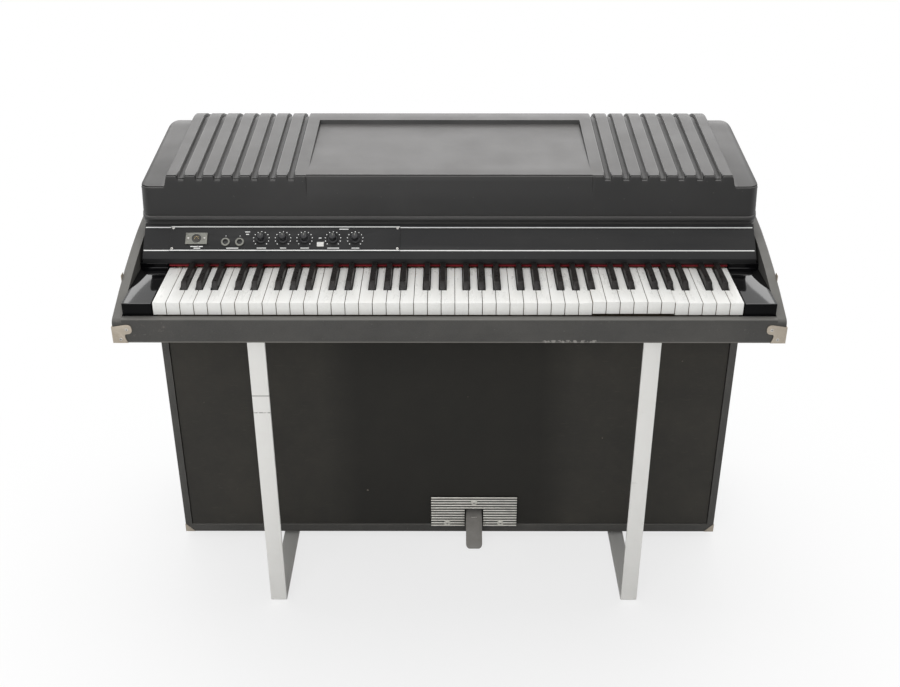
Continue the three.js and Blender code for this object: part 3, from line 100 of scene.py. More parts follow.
# Camera, lights and floor
VIEW_PLACE, VIEW_DOWN, VIEW_TURN = (0.0042, -2.0505, 1.5955), 28.5, 0.09
SENSOR_WIDTH, FOCAL_PIXELS, PHOTO_PIXELS = 36, 1161, 900
SOFTBOXES = (
    ("top_softbox", (0, 0.5, 3.3), (0, 0, 0.7), (3.4, 2.2), 50),
    ("front_softbox", (-0.8, -3.6, 2.0), (0, 0, 0.5), (3.0, 2.2), 47),
    ("rear_softbox", (0, 3.2, 2.3), (0, 0, 0.8), (4.4, 2.0), 50),
    ("left_softbox", (-3.4, 0.4, 1.5), (-0.5, 0, 0.7), (1.6, 1.8), 13),
    ("right_softbox", (3.4, 0.2, 1.6), (0.5, 0, 0.7), (1.6, 1.8), 9),
)
FLOOR_FADE = {"From Min": 0.4, "From Max": 1.25, "To Min": 0.72, "To Max": 1.0}


def into_scene(name, data):
    """A new object that shows the mesh, lamp or camera."""
    thing = bpy.data.objects.new(name, data)
    bpy.context.scene.collection.objects.link(thing)
    return thing


def plug(tree, socket, value):
    """Links another node's output to the socket, or sets its number or colour."""
    if isinstance(value, bpy.types.NodeSocket):
        tree.links.new(value, socket)
    else:
        socket.default_value = value


def add_node(tree, kind, inputs=(), **settings):
    """A shader node with its settings, and its inputs by name, or by number in a list."""
    node = tree.nodes.new(f"ShaderNode{kind}")
    for name, value in settings.items():
        setattr(node, name, value)
    for name, value in inputs.items() if isinstance(inputs, dict) else enumerate(inputs):
        plug(tree, node.inputs[name], value)
    return node


def add_camera():
    """The photograph's view: 1.76 m in front of the case, 1.6 m up, looking down 28.5 degrees."""
    data = bpy.data.cameras.new("view_from_the_front")
    data.sensor_width = SENSOR_WIDTH
    data.lens = SENSOR_WIDTH * FOCAL_PIXELS / PHOTO_PIXELS
    camera = into_scene("view_from_the_front", data)
    camera.location = VIEW_PLACE
    camera.rotation_euler = (math.radians(90 - VIEW_DOWN), 0, math.radians(VIEW_TURN))
    bpy.context.scene.camera = camera


def light_the_studio():
    """Five soft lamps, and a world that is white to the eye, to gloss and through glass."""
    for name, place, target, size, power in SOFTBOXES:
        data = bpy.data.lights.new(name, "AREA")
        data.shape = "RECTANGLE"
        data.size, data.size_y = size
        data.energy = power
        lamp = into_scene(name, data)
        lamp.location = place
        lamp.rotation_euler = (Vector(target) - Vector(place)).to_track_quat("-Z", "Y").to_euler()
    world = bpy.data.worlds.new("studio_room")
    bpy.context.scene.world = world
    world.use_nodes = True
    tree = world.node_tree
    tree.nodes.clear()
    paths = add_node(tree, "LightPath").outputs
    seen = paths["Is Camera Ray"]
    for path in ("Is Glossy Ray", "Is Transmission Ray"):
        seen = add_node(tree, "Math", [seen, paths[path]], operation="MAXIMUM").outputs[0]
    room = add_node(tree, "Background", {"Color": (0.98, 0.99, 1.0, 1), "Strength": 0.4})
    backdrop = add_node(tree, "Background", {"Color": (1, 1, 1, 1), "Strength": 1.0})
    mix = add_node(tree, "MixShader", [seen, room.outputs[0], backdrop.outputs[0]])
    add_node(tree, "OutputWorld", {"Surface": mix.outputs[0]})
    bpy.context.scene.view_settings.view_transform = "Standard"


def lay_floor():
    """White paper: the camera sees it pure white away from the piano, and a soft shadow near it."""
    let_go()
    bpy.ops.mesh.primitive_plane_add(size=60, location=(0, 0, -0.0005))
    floor = bpy.context.object
    floor.name = "studio_floor"
    paper = Finish("floor_paper", (0.93, 0.93, 0.93), 0.9, specular=0.1)
    away = paper.add("VectorMath", [paper.coords], operation="LENGTH").outputs["Value"]
    fade = paper.add("MapRange", {"Value": away, **FLOOR_FADE}, interpolation_type="SMOOTHSTEP")
    seen = paper.times(fade.outputs[0], paper.add("LightPath").outputs["Is Camera Ray"])
    white = paper.add("Emission", {"Strength": 1.0})
    mix = paper.add("MixShader", [seen, paper.shader.outputs[0], white.outputs[0]])
    plug(paper.tree, paper.tree.nodes["Material Output"].inputs["Surface"], mix.outputs[0])
    paint(floor, paper.material)


# Selecting and shaping
def let_go():
    for thing in bpy.context.view_layer.objects:
        thing.select_set(False)


def take(piece):
    let_go()
    piece.select_set(True)
    bpy.context.view_layer.objects.active = piece


def edit(piece, faces=None, edges=None):
    """Goes into edit mode with the faces or edges that pass the test selected, or else every face."""
    take(piece)
    bpy.context.tool_settings.mesh_select_mode = (False, edges is not None, edges is None)
    mesh = piece.data
    for part in (*mesh.vertices, *mesh.edges, *mesh.polygons):
        part.select = False
    if edges:
        for edge in mesh.edges:
            edge.select = edges(*(mesh.vertices[i].co for i in edge.vertices))
    else:
        for face in mesh.polygons:
            face.select = faces is None or faces(face)
    bpy.ops.object.mode_set(mode="EDIT")


def done():
    bpy.ops.object.mode_set(mode="OBJECT")


def looks_up(face):
    return face.normal.z > 0.9


def settle(piece):
    """Puts the piece's place, turn and size into its mesh."""
    take(piece)
    bpy.ops.object.transform_apply(location=True, rotation=True, scale=True)
    return piece


def start_block(name, first, second):
    """A block between two opposite corners."""
    let_go()
    low, high = (Vector(tuple(map(pick, first, second))) for pick in (min, max))
    bpy.ops.mesh.primitive_cube_add(size=1, location=(low + high) / 2)
    piece = bpy.context.object
    piece.name = name
    piece.scale = high - low
    return settle(piece)


def start_disc(name, centre, radius, height, sides, tilt=(0, 0, 0)):
    """A short upright cylinder on its centre, in millimetres, then tilted about that centre."""
    let_go()
    bpy.ops.mesh.primitive_cylinder_add(vertices=sides, radius=radius * MM, depth=height * MM,
                                        location=mm(*centre), rotation=tilt)
    piece = bpy.context.object
    piece.name = name
    return settle(piece)


def face_out(piece, centre, out):
    """Turns a piece made upright at the origin so that its top looks along out, and sets it at its place."""
    piece.rotation_euler = Vector(out).to_track_quat("Z", "Y").to_euler()
    piece.location = centre
    return settle(piece)


def lay_on_rail(piece):
    """Puts a piece drawn in the slanted face's own frame onto the rail: X along it, Y up it, Z out of it."""
    piece.rotation_euler = (RAIL_SLOPE, 0, 0)
    piece.location = on_rail(0, 0, 0)
    return settle(piece)


def twin(piece, name, offset=(0, 0, 0)):
    """A copy with its own mesh, moved by the offset."""
    copy = into_scene(name, piece.data.copy())
    copy.location = offset
    return settle(copy)


def joined(name, pieces):
    let_go()
    for piece in pieces:
        piece.select_set(True)
    bpy.context.view_layer.objects.active = pieces[0]
    bpy.ops.object.join()
    pieces[0].name = name
    return pieces[0]


def split_at(piece, place, normal):
    """Cuts a line of edges right round a piece."""
    edit(piece)
    bpy.ops.mesh.bisect(plane_co=place, plane_no=normal, use_fill=False)
    done()


def extrude_up(height):
    bpy.ops.mesh.extrude_region_move(TRANSFORM_OT_translate={"value": mm(0, 0, height)})


def inset_and_lift(rim, height):
    """Insets the selected face by the rim and moves what is inside it, in millimetres."""
    bpy.ops.mesh.inset(thickness=rim * MM, depth=0)
    bpy.ops.transform.translate(value=mm(0, 0, height))


def round_edges(piece, width, segments=2, sharp=35, clamp=True):
    """Rounds by so many millimetres each edge that turns by more than the sharp angle."""
    take(piece)
    bevel = piece.modifiers.new("rounded_edges", "BEVEL")
    bevel.width = width * MM
    bevel.segments = segments
    bevel.limit_method = "ANGLE"
    bevel.angle_limit = math.radians(sharp)
    bevel.use_clamp_overlap = clamp
    bpy.ops.object.modifier_apply(modifier=bevel.name)
    bpy.ops.object.shade_smooth_by_angle(angle=math.radians(sharp))
    return piece


def paint(piece, *finishes):
    piece.data.materials.clear()
    for finish in finishes:
        piece.data.materials.append(finish)
    return piece


def seat(piece, body, slot, *nodes):
    """The piece rides on its body and stands for the nodes. The slot is not used."""
    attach(piece, body)
    if nodes:
        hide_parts(*nodes)


def dressed(node, slot, finishes, edge, segments=2, body=FIXED, second=None, clamp=True, shape=None):
    """A copy of a solid with its facets joined, its edges rounded by so many mm, and its finish on.
    Faces that pass the second test take the second finish. Shape is a step before the rounding."""
    piece = into_scene(f"{node}_finished", frame["nodes"][node].data.copy())
    take(piece)
    if piece.data.has_custom_normals:
        bpy.ops.mesh.customdata_custom_splitnormals_clear()
    edit(piece)
    bpy.ops.mesh.remove_doubles(threshold=0.02 * MM)
    bpy.ops.mesh.dissolve_limited(angle_limit=math.radians(1))
    done()
    if shape:
        shape(piece)
    paint(round_edges(piece, edge, segments, clamp=clamp), *finishes)
    if second:
        for face in piece.data.polygons:
            face.material_index = 1 if second(face) else 0
    seat(piece, body, slot, node)


# Finishes: each is a procedural material on the piece's own coordinates
class Finish:
    """A material in the making, with the coordinates, mixes and textures that its look needs."""

    def __init__(self, name, color, roughness, metallic=0.0, specular=0.5):
        self.material = bpy.data.materials.new(name)
        self.material.use_nodes = True
        self.tree = self.material.node_tree
        self.shader = self.tree.nodes["Principled BSDF"]
        self.give("Base Color", (*color, 1))
        self.give("Roughness", roughness)
        self.give("Metallic", metallic)
        self.give("Specular IOR Level", specular)
        self.coords = self.add("TexCoord").outputs["Object"]
        self.height = None

    def add(self, kind, inputs=(), **settings):
        return add_node(self.tree, kind, inputs, **settings)

    def give(self, socket, value):
        """Sets or links one of the shader's own inputs."""
        plug(self.tree, self.shader.inputs[socket], value)

    def stretched(self, *scale):
        """The coordinates scaled along each axis, for grain and brushing."""
        return self.add("Mapping", {"Vector": self.coords, "Scale": scale}).outputs[0]

    def noise(self, scale, detail=4.0, roughness=0.6, coords=None):
        inputs = {"Vector": coords or self.coords, "Scale": scale, "Detail": detail, "Roughness": roughness}
        return self.add("TexNoise", inputs).outputs["Fac"]

    def ramp(self, factor, low, high, start=0.0, end=1.0):
        """A factor turned into a range: values from start to end become low to high."""
        inputs = {"Value": factor, "From Min": start, "From Max": end, "To Min": low, "To Max": high}
        return self.add("MapRange", inputs).outputs[0]

    def times(self, first, second, operation="MULTIPLY"):
        return self.add("Math", [first, second], operation=operation).outputs[0]

    def patches(self, start, end, *noise):
        """Patches where the noise is high: nothing under start, all over end."""
        return self.ramp(self.noise(*noise), 0, 1, start, end)

    def edge_wear_and_highlight(self, radius, patch_scale, start=0.02, end=0.2):
        """1 on edges within the radius, broken up into patches."""
        bevel = self.add("Bevel", {"Radius": radius}, samples=4).outputs[0]
        flat = self.add("NewGeometry").outputs["Normal"]
        dot = self.add("VectorMath", [bevel, flat], operation="DOT_PRODUCT").outputs["Value"]
        edge = self.ramp(dot, 1.0, 0.0, 1 - end, 1 - start)
        return self.times(edge, self.patches(0.42, 0.62, patch_scale, 6, 0.7))

    def facing_up(self, start, end):
        """1 on faces that look up."""
        flat = self.add("NewGeometry").outputs["Normal"]
        return self.ramp(self.add("SeparateXYZ", [flat]).outputs["Z"], 0, 1, start, end)

    def stored(self, name):
        """A value kept on the mesh's points."""
        return self.add("Attribute", attribute_name=name).outputs["Fac"]

    def place(self, axis):
        return self.add("SeparateXYZ", [self.coords]).outputs[axis]

    def within(self, axis, low, high, fade):
        """1 between two places along an axis, fading out at both."""
        place = self.place(axis)
        return self.times(self.ramp(place, 0, 1, low - fade, low), self.ramp(place, 1, 0, high, high + fade))

    def tint(self, factor, color, amount):
        """Mixes another colour over the base colour by the factor."""
        base = self.shader.inputs["Base Color"]
        under = base.links[0].from_socket if base.is_linked else base.default_value
        inputs = {0: self.times(factor, amount), 6: under, 7: (*color, 1)}
        self.give("Base Color", self.add("Mix", inputs, data_type="RGBA").outputs[2])

    def mottle(self, color, amount, start, end, *noise):
        """Another colour in patches."""
        self.tint(self.patches(start, end, *noise), color, amount)

    def roughen(self, factor, low, high, start=0.3, end=0.7):
        self.give("Roughness", self.ramp(factor, low, high, start, end))

    def bump(self, factor, distance, strength):
        inputs = {"Height": factor, "Distance": distance, "Strength": strength}
        if self.height:
            inputs["Normal"] = self.height
        self.height = self.add("Bump", inputs).outputs[0]
        self.give("Normal", self.height)


def case_vinyl():
    """Pebbled black vinyl, grey along its worn edges, paler on faces that look up (painted light from above),
    torn under the front rail.
    """
    finish = Finish("case_vinyl_pebbled", (0.062, 0.06, 0.056), 0.58, specular=0.38)
    pebbles = finish.add("TexVoronoi", {"Vector": finish.coords, "Scale": 620}).outputs["Distance"]
    finish.tint(finish.ramp(pebbles, 0, 1, 0.25, 0.75), (0.038, 0.037, 0.034), 0.5)
    finish.mottle((0.09, 0.086, 0.078), 0.55, 0.42, 0.75, 9, 5)
    finish.tint(finish.edge_wear_and_highlight(0.0025, 38), (0.26, 0.245, 0.22), 0.5)
    finish.mottle((0.25, 0.24, 0.22), 0.3, 0.7, 0.76, 190, 2)
    hem = finish.within("Z", 0.64, 0.6418, 0.0006)
    finish.tint(hem, (0.2, 0.19, 0.17), 0.6)
    # Painted light: faces that look up are paler, as lit from above.
    finish.tint(finish.facing_up(0.3, 0.95), (0.2, 0.194, 0.18), 0.7)
    front = finish.within("Y", -0.3, -0.2, 0.01)
    torn = (0.165, 0.262, 0.004), (0.639, 0.6445, 0.0015), (0.5, 0.56, 95, 4, 0.7), (0.4, 0.38, 0.35), 0.6
    wear_and_highlight = (-0.58, -0.49, 0.02), (0.655, 0.686, 0.004), (0.56, 0.66, 70, 6, 0.75), (0.24, 0.2, 0.18), 0.5
    for across, upward, patches, color, amount in (torn, wear_and_highlight):
        spot = finish.times(finish.within("X", *across), finish.patches(*patches))
        spot = finish.times(finish.times(spot, front), finish.within("Z", *upward))
        finish.tint(spot, color, amount)
    finish.roughen(finish.noise(30, 4), 0.52, 0.68)
    finish.bump(pebbles, 0.0003, 0.7)
    return finish.material


def lid_plastic():
    """Moulded black plastic with a satin sheen. Where it looks up it is paler: a painted sheen for the
    reflection of the light above.
    """
    finish = Finish("lid_plastic_satin", (0.021, 0.0205, 0.02), 0.44, specular=0.36)
    # Painted sheen: faces that look up are paler, as they would be reflecting the light above.
    finish.tint(finish.facing_up(0.55, 0.97), (0.108, 0.104, 0.101), 0.9)
    finish.mottle((0.07, 0.067, 0.065), 0.25, 0.45, 0.8, 5, 5, 0.6)
    # Partly edge wear, partly a painted highlight along the rib edges.
    finish.tint(finish.edge_wear_and_highlight(0.0016, 16, 0.03, 0.3), (0.2, 0.195, 0.19), 0.4)
    finish.mottle((0.24, 0.23, 0.22), 0.25, 0.73, 0.79, 150, 2)
    # Painted shade in the grooves, behind the lip and on the front of the outer ends, with less reflection
    # there too.
    finish.tint(finish.stored("painted_shade"), (0.02, 0.0195, 0.019), 0.85)
    # Painted highlight: paler groove walls and rib edges.
    finish.tint(finish.stored("wear_and_highlight"), (0.22, 0.215, 0.21), 0.75)
    finish.give("Specular IOR Level", finish.ramp(finish.stored("painted_shade"), 0.36, 0.12))
    finish.roughen(finish.noise(14, 6), 0.4, 0.5)
    finish.bump(finish.noise(1100, 3), 0.00006, 0.6)
    finish.bump(finish.noise(7, 2), 0.0008, 0.08)
    return finish.material


def cheek_gloss():
    """Polished black with fine scratches and a few specks, duller on its upright faces."""
    finish = Finish("cheek_block_polish", (0.003, 0.003, 0.0035), 0.05, specular=0.55)
    scratches = finish.noise(60, 8, 0.75, finish.stretched(1, 14, 1))
    finish.roughen(scratches, 0.03, 0.1, 0.4, 0.75)
    # Painted reflection: the top reflects strongly and the upright faces hardly at all, set by which way each
    # face looks.
    finish.give("Specular IOR Level", finish.ramp(finish.facing_up(0.3, 0.9), 0.08, 0.95))
    finish.mottle((0.2, 0.19, 0.18), 0.25, 0.72, 0.78, 240, 2)
    finish.tint(finish.edge_wear_and_highlight(0.0012, 60), (0.1, 0.095, 0.09), 0.35)
    return finish.material


def rail_paint():
    """Satin black paint on the name rail, a little scuffed along it."""
    finish = Finish("name_rail_paint", (0.017, 0.017, 0.0175), 0.46, specular=0.26)
    finish.mottle((0.032, 0.0315, 0.03), 0.6, 0.45, 0.8, 16, 5, 0.6, finish.stretched(0.3, 1, 1))
    finish.mottle((0.3, 0.3, 0.29), 0.2, 0.72, 0.78, 300, 2)
    finish.tint(finish.edge_wear_and_highlight(0.0012, 50), (0.22, 0.22, 0.21), 0.35)
    finish.roughen(finish.noise(25, 5), 0.4, 0.55)
    finish.bump(finish.noise(900, 2), 0.00004, 0.5)
    return finish.material


def key_ivory():
    """Off-white moulded key tops, a little yellow and dull where fingers play."""
    finish = Finish("key_top_white", (0.9, 0.895, 0.865), 0.25, specular=0.5)
    finish.mottle((0.86, 0.84, 0.79), 0.45, 0.4, 0.75, 22, 5, 0.6, finish.stretched(2, 0.6, 1))
    finish.mottle((0.7, 0.67, 0.61), 0.25, 0.68, 0.75, 420, 3)
    finish.roughen(finish.noise(70, 6, 0.7, finish.stretched(1, 0.25, 1)), 0.2, 0.42)
    finish.bump(finish.noise(260, 3), 0.00005, 0.3)
    return finish.material


def key_ebony():
    """Black-brown moulded keys, worn shiny on top with grey specks of wear, their edges grey, partly from
    wear and partly a painted highlight.
    """
    finish = Finish("key_top_black", (0.008, 0.0065, 0.006), 0.3, specular=0.28)
    finish.mottle((0.036, 0.028, 0.024), 0.5, 0.5, 0.7, 120, 6, 0.75)
    # Grey edges: partly wear, partly a painted highlight along the keys' edges.
    finish.tint(finish.edge_wear_and_highlight(0.0012, 130), (0.3, 0.27, 0.245), 0.6)
    finish.mottle((0.26, 0.23, 0.2), 0.25, 0.64, 0.72, 700, 3)
    finish.roughen(finish.noise(150, 5), 0.2, 0.5)
    finish.bump(finish.noise(500, 4), 0.00006, 0.5)
    return finish.material


def wood(name, light, dark, ring_scale):
    """Bare wood with its grain along Y and its pores, darker in front with painted shade where it shows in
    the gaps between the keys.
    """
    finish = Finish(name, light, 0.6, specular=0.3)
    rings = finish.noise(ring_scale, 6, 0.65, finish.stretched(1, 0.06, 1))
    finish.tint(finish.ramp(rings, 0, 1, 0.42, 0.6), dark, 0.8)
    pores = finish.noise(900, 3, 0.6, finish.stretched(1, 0.05, 1))
    finish.tint(finish.ramp(pores, 0, 1, 0.6, 0.7), dark, 0.4)
    # Painted shade: the wood in front, seen in the gaps between the key tops, is darkened.
    finish.tint(finish.within("Y", -0.3, -0.13, 0.01), (0.1, 0.09, 0.08), 0.75)
    finish.roughen(rings, 0.5, 0.72)
    finish.bump(pores, 0.00008, 0.6)
    return finish.material


def red_felt(name, low, high):
    """Red felt, bright along its lower edge and dark with dust and shade above it."""
    finish = Finish(name, (0.3, 0.02, 0.028), 0.95, specular=0.1)
    finish.give("Sheen Weight", 0.2)
    finish.mottle((0.17, 0.011, 0.016), 0.6, 0.4, 0.7, 500, 6, 0.8)
    finish.tint(finish.ramp(finish.place("Z"), 0, 1, low, high), (0.018, 0.006, 0.006), 0.93)
    finish.bump(finish.noise(1500, 4, 0.8), 0.0003, 0.8)
    return finish.material


def metal(name, color, roughness, brush, wear, amount):
    """Plated, bare or brushed metal with fine scratches, and dull spots."""
    finish = Finish(name, color, roughness, metallic=0.9)
    lines = finish.noise(700, 5, 0.7, finish.stretched(*brush))
    finish.roughen(lines, roughness * 0.75, roughness * 1.4)
    finish.mottle(wear, amount, 0.52, 0.75, 45, 6, 0.7)
    finish.mottle(wear, amount, 0.66, 0.74, 320, 3)
    finish.bump(lines, 0.00003, 0.5)
    return finish.material


def leg_metal():
    """Satin light grey bars, with fine scratches, and two dark marks across the left one."""
    finish = Finish("leg_satin_metal", (0.83, 0.82, 0.79), 0.45, metallic=0.25)
    lines = finish.noise(400, 5, 0.7, finish.stretched(1, 1, 0.08))
    finish.roughen(lines, 0.36, 0.56)
    finish.mottle((0.74, 0.73, 0.69), 0.4, 0.5, 0.8, 14, 6, 0.7)
    finish.mottle((0.4, 0.39, 0.36), 0.5, 0.72, 0.75, 160, 3, 0.5, finish.stretched(0.12, 0.12, 1.6))
    left = finish.ramp(finish.place("X"), 1, 0, -0.3, -0.2)
    broken = finish.times(left, finish.patches(0.42, 0.5, 130, 3))
    for mark in (0.4885, 0.4522):
        line = finish.within("Z", mark, mark + 0.0012, 0.0008)
        finish.tint(finish.times(broken, line), (0.2, 0.19, 0.17), 0.8)
    finish.bump(lines, 0.00004, 0.5)
    return finish.material


def grille_cloth():
    """Black speaker cloth: an over-and-under weave with brown threads here and there."""
    finish = Finish("grille_cloth_black", (0.05, 0.0475, 0.042), 0.9, specular=0.25)
    bands = {"Vector": finish.coords, "Scale": 430, "Distortion": 0.6}
    threads = [finish.add("TexWave", bands, bands_direction=axis).outputs["Fac"] for axis in "XZ"]
    weave = finish.times(*threads, "MAXIMUM")
    finish.tint(finish.ramp(weave, 1, 0, 0.3, 0.9), (0.02, 0.019, 0.017), 0.7)
    finish.mottle((0.075, 0.068, 0.056), 0.5, 0.4, 0.8, 6, 6, 0.7)
    finish.mottle((0.09, 0.08, 0.065), 0.4, 0.62, 0.72, 260, 4, 0.6, finish.stretched(0.2, 1, 1.6))
    finish.tint(finish.within("X", -0.19, 0.19, 0.07), (0.02, 0.0192, 0.017), 0.65)
    finish.mottle((0.35, 0.3, 0.24), 0.5, 0.77, 0.79, 60, 2)
    finish.bump(weave, 0.0003, 0.8)
    return finish.material


def plastic(name, color, roughness, grain=800, specular=0.5):
    """Plain moulded plastic or paint, a little uneven."""
    finish = Finish(name, color, roughness, specular=specular)
    paler = tuple(min(1, channel * 1.5 + 0.01) for channel in color)
    finish.mottle(paler, 0.4, 0.45, 0.75, 60, 5)
    finish.roughen(finish.noise(90, 5), roughness * 0.8, roughness * 1.3)
    finish.bump(finish.noise(grain, 3), 0.00005, 0.5)
    return finish.material


VINYL = case_vinyl()
LID_PLASTIC = lid_plastic()
CHEEK_GLOSS = cheek_gloss()
RAIL_PAINT = rail_paint()
IVORY = key_ivory()
EBONY = key_ebony()
SPRUCE = wood("spruce_levers", (0.62, 0.43, 0.23), (0.42, 0.26, 0.12), 90)
MAPLE = wood("maple_hammers", (0.58, 0.41, 0.24), (0.44, 0.29, 0.15), 140)
FELT_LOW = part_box("rail_felt")[0].z
FELT = red_felt("rail_felt_red", FELT_LOW + 0.0012, FELT_LOW + 0.0042)
NICKEL = metal("dull_nickel", (0.46, 0.405, 0.335), 0.42, (1, 1, 3), (0.26, 0.2, 0.14), 0.5)
ALUMINIUM = metal("brushed_aluminium", (0.74, 0.74, 0.73), 0.38, (0.06, 1, 1), (0.5, 0.5, 0.49), 0.4)
STEEL = metal("plain_steel", (0.5, 0.5, 0.51), 0.34, (0.2, 1, 1), (0.28, 0.26, 0.24), 0.4)
LEG_METAL = leg_metal()
CLOTH = grille_cloth()
SWITCH_WHITE = plastic("switch_white", (0.82, 0.81, 0.77), 0.35)
BLACK_PLASTIC = plastic("black_plastic", (0.018, 0.018, 0.02), 0.38)
SPEAKER_BLACK = plastic("speaker_paper", (0.03, 0.03, 0.031), 0.8, 400, 0.2)
PEDAL_PAINT = plastic("pedal_paint", (0.24, 0.228, 0.212), 0.42, 300)
PRINT = plastic("rail_print_silver", (0.95, 0.95, 0.93), 0.4)
RUBBER = plastic("foot_rubber", (0.02, 0.02, 0.02), 0.8)
SCREW_STEEL = metal("screw_nickel", (0.6, 0.58, 0.55), 0.3, (1, 1, 1), (0.25, 0.22, 0.2), 0.5)
# Painted shade: near-black for the screw slots and the jack holes.
HOLE_SHADE = plastic("painted_hole_shade", (0.006, 0.006, 0.006), 0.5)
SOCKET_METAL = metal("socket_zinc", (0.21, 0.21, 0.19), 0.5, (1, 1, 1), (0.25, 0.24, 0.21), 0.5)
CUP_METAL = metal("socket_cup_metal", (0.07, 0.066, 0.06), 0.5, (1, 1, 1), (0.02, 0.02, 0.02), 0.5)
AMPLIFIER_METAL = metal("amplifier_aluminium", (0.44, 0.44, 0.43), 0.46, (1, 1, 0.06), (0.3, 0.3, 0.29), 0.4)
RIB_METAL = metal("kick_rib_aluminium", (0.78, 0.76, 0.7), 0.4, (0.06, 1, 1), (0.4, 0.38, 0.34), 0.4)
BRASS = metal("pickup_brass", (0.72, 0.55, 0.28), 0.35, (1, 1, 1), (0.4, 0.28, 0.12), 0.4)
TIP_RUBBER = plastic("hammer_tip_rubber", (0.11, 0.1, 0.09), 0.7)
DAMPER_FELT = red_felt("damper_felt_red", 2.0, 3.0)


# Screws
def make_screw(radius):
    """A domed screw with a cross slot, its head's underside at the origin and its top along Z."""
    head = start_disc("screw_head", (0, 0, radius * 0.25), radius, radius * 0.5, 20)
    parts = [paint(round_edges(head, radius * 0.28, 3), SCREW_STEEL)]
    long, narrow, low, high = (radius * share for share in (0.62, 0.11, 0.2, 0.515))
    for x, y in ((narrow, long), (long, narrow)):
        # Each slot is a dark bar: painted shade for the recess.
        parts.append(paint(start_block("screw_slot", mm(-x, -y, low), mm(x, y, high)), HOLE_SHADE))
    return joined("screw", parts)


def add_screws(name, radius, places, out):
    """One screw at each place, all looking the same way, as one piece."""
    first = make_screw(radius)
    screws = [face_out(twin(first, f"{name}_{i}"), place, out) for i, place in enumerate(places)]
    bpy.data.objects.remove(first)
    seat(joined(name, screws), FIXED, "corner_nickel")


# Lower case, cheek blocks and legs
CHEEK_TOP, RISER_FRONT, RISER_TOP = 68, 159.5, 77.7
CATCH_SETBACK, CATCH_HEIGHT = 98, 74
CORNER_SCREWS = ((26, 25.5), (14, 7))
CORNER_PLATE, CORNER_SCREW_PROUD = 1.7, 0.35


def add_cheek_block(side):
    """A polished block, level up to the name rail, with a riser hidden under the rail."""
    low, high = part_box(f"cheek_block_{side}")
    block = start_block(f"cheek_block_{side}_polished", low, (high.x, high.y, from_underside(CHEEK_TOP)))
    split_at(block, (0, from_front(RISER_FRONT), 0), (0, 1, 0))
    edit(block, faces=lambda face: looks_up(face) and face.center.y > from_front(RISER_FRONT))
    extrude_up(RISER_TOP - CHEEK_TOP)
    done()
    paint(round_edges(block, 1.4, 3), CHEEK_GLOSS)
    seat(block, FIXED, "cheek_gloss", f"cheek_block_{side}")


def add_wall_catch(side, sign):
    """A small nickel keeper near the top of a side wall, with its button."""
    plate = round_edges(start_block("wall_catch", mm(-7, -11, 0.1), mm(7, 11, 1.0)), 0.4)
    button = round_edges(start_disc("catch_button", (0, 0, 0.9), 3.2, 1.2, 24), 0.4)
    catch = paint(joined(f"wall_catch_{side}", [plate, button]), NICKEL)
    place = (sign * HALF_CASE, from_front(CATCH_SETBACK), from_underside(CATCH_HEIGHT))
    seat(face_out(catch, place, (sign, 0, 0)), FIXED, "corner_nickel")


def finish_the_case():
    dressed("lower_case", "case_vinyl", [VINYL], 2.2, segments=3)
    corner, front = HALF_CASE + CORNER_PLATE * MM, CASE_FRONT - CORNER_SCREW_PROUD * MM
    for side, sign in SIDES:
        add_cheek_block(side)
        add_wall_catch(side, sign)
        dressed(f"case_corner_{side}", "corner_nickel", [NICKEL], 0.45)
        dressed(f"leg_{side}", "leg_metal", [LEG_METAL], 1.1, segments=3)
        places = [(sign * (corner - inward * MM), front, from_underside(up)) for inward, up in CORNER_SCREWS]
        add_screws(f"corner_screws_{side}", 3.0, places, (0, -1, 0))


# Cabinet, its fittings and the pedal
KICK_LOW, KICK_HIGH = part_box("kick_plate")
PEDAL_LOW, PEDAL_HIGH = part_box("sustain_pedal")
CABINET_TOP, CABINET_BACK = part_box("cabinet_shell")[1].z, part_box("cabinet_shell")[1].y
CABINET_BOTTOM, CABINET_FRONT = 15, 284
KICK_RIBS, KICK_RIB_SHARE = 12, 0.52
KICK_THICKNESS, KICK_BASE = 3.0, 1.4
KICK_NOTCH_HALF, KICK_NOTCH_TOP = 20, 75
KICK_SCREW_SPREAD, KICK_SCREW_RIBS = 58, (2.15, 1.7)     # ribs from the top, and up from the bottom
TREAD_LOW, TREAD_HIGH, TREAD_MARK = (262, 52), (284, 63), (276, 59)
BOARD_SETBACK, BOARD_SCREW_LOW = 563.5, 48
AMPLIFIER_LEFT, AMPLIFIER_RIGHT, AMPLIFIER_TOP = -200, 10, 200
INLET_LOW, INLET_HIGH, INLET_REACH = (-41, 41), (-7, 66), 22
INLET_PINS = ((-29, 50), (-24, 56), (-19, 50))


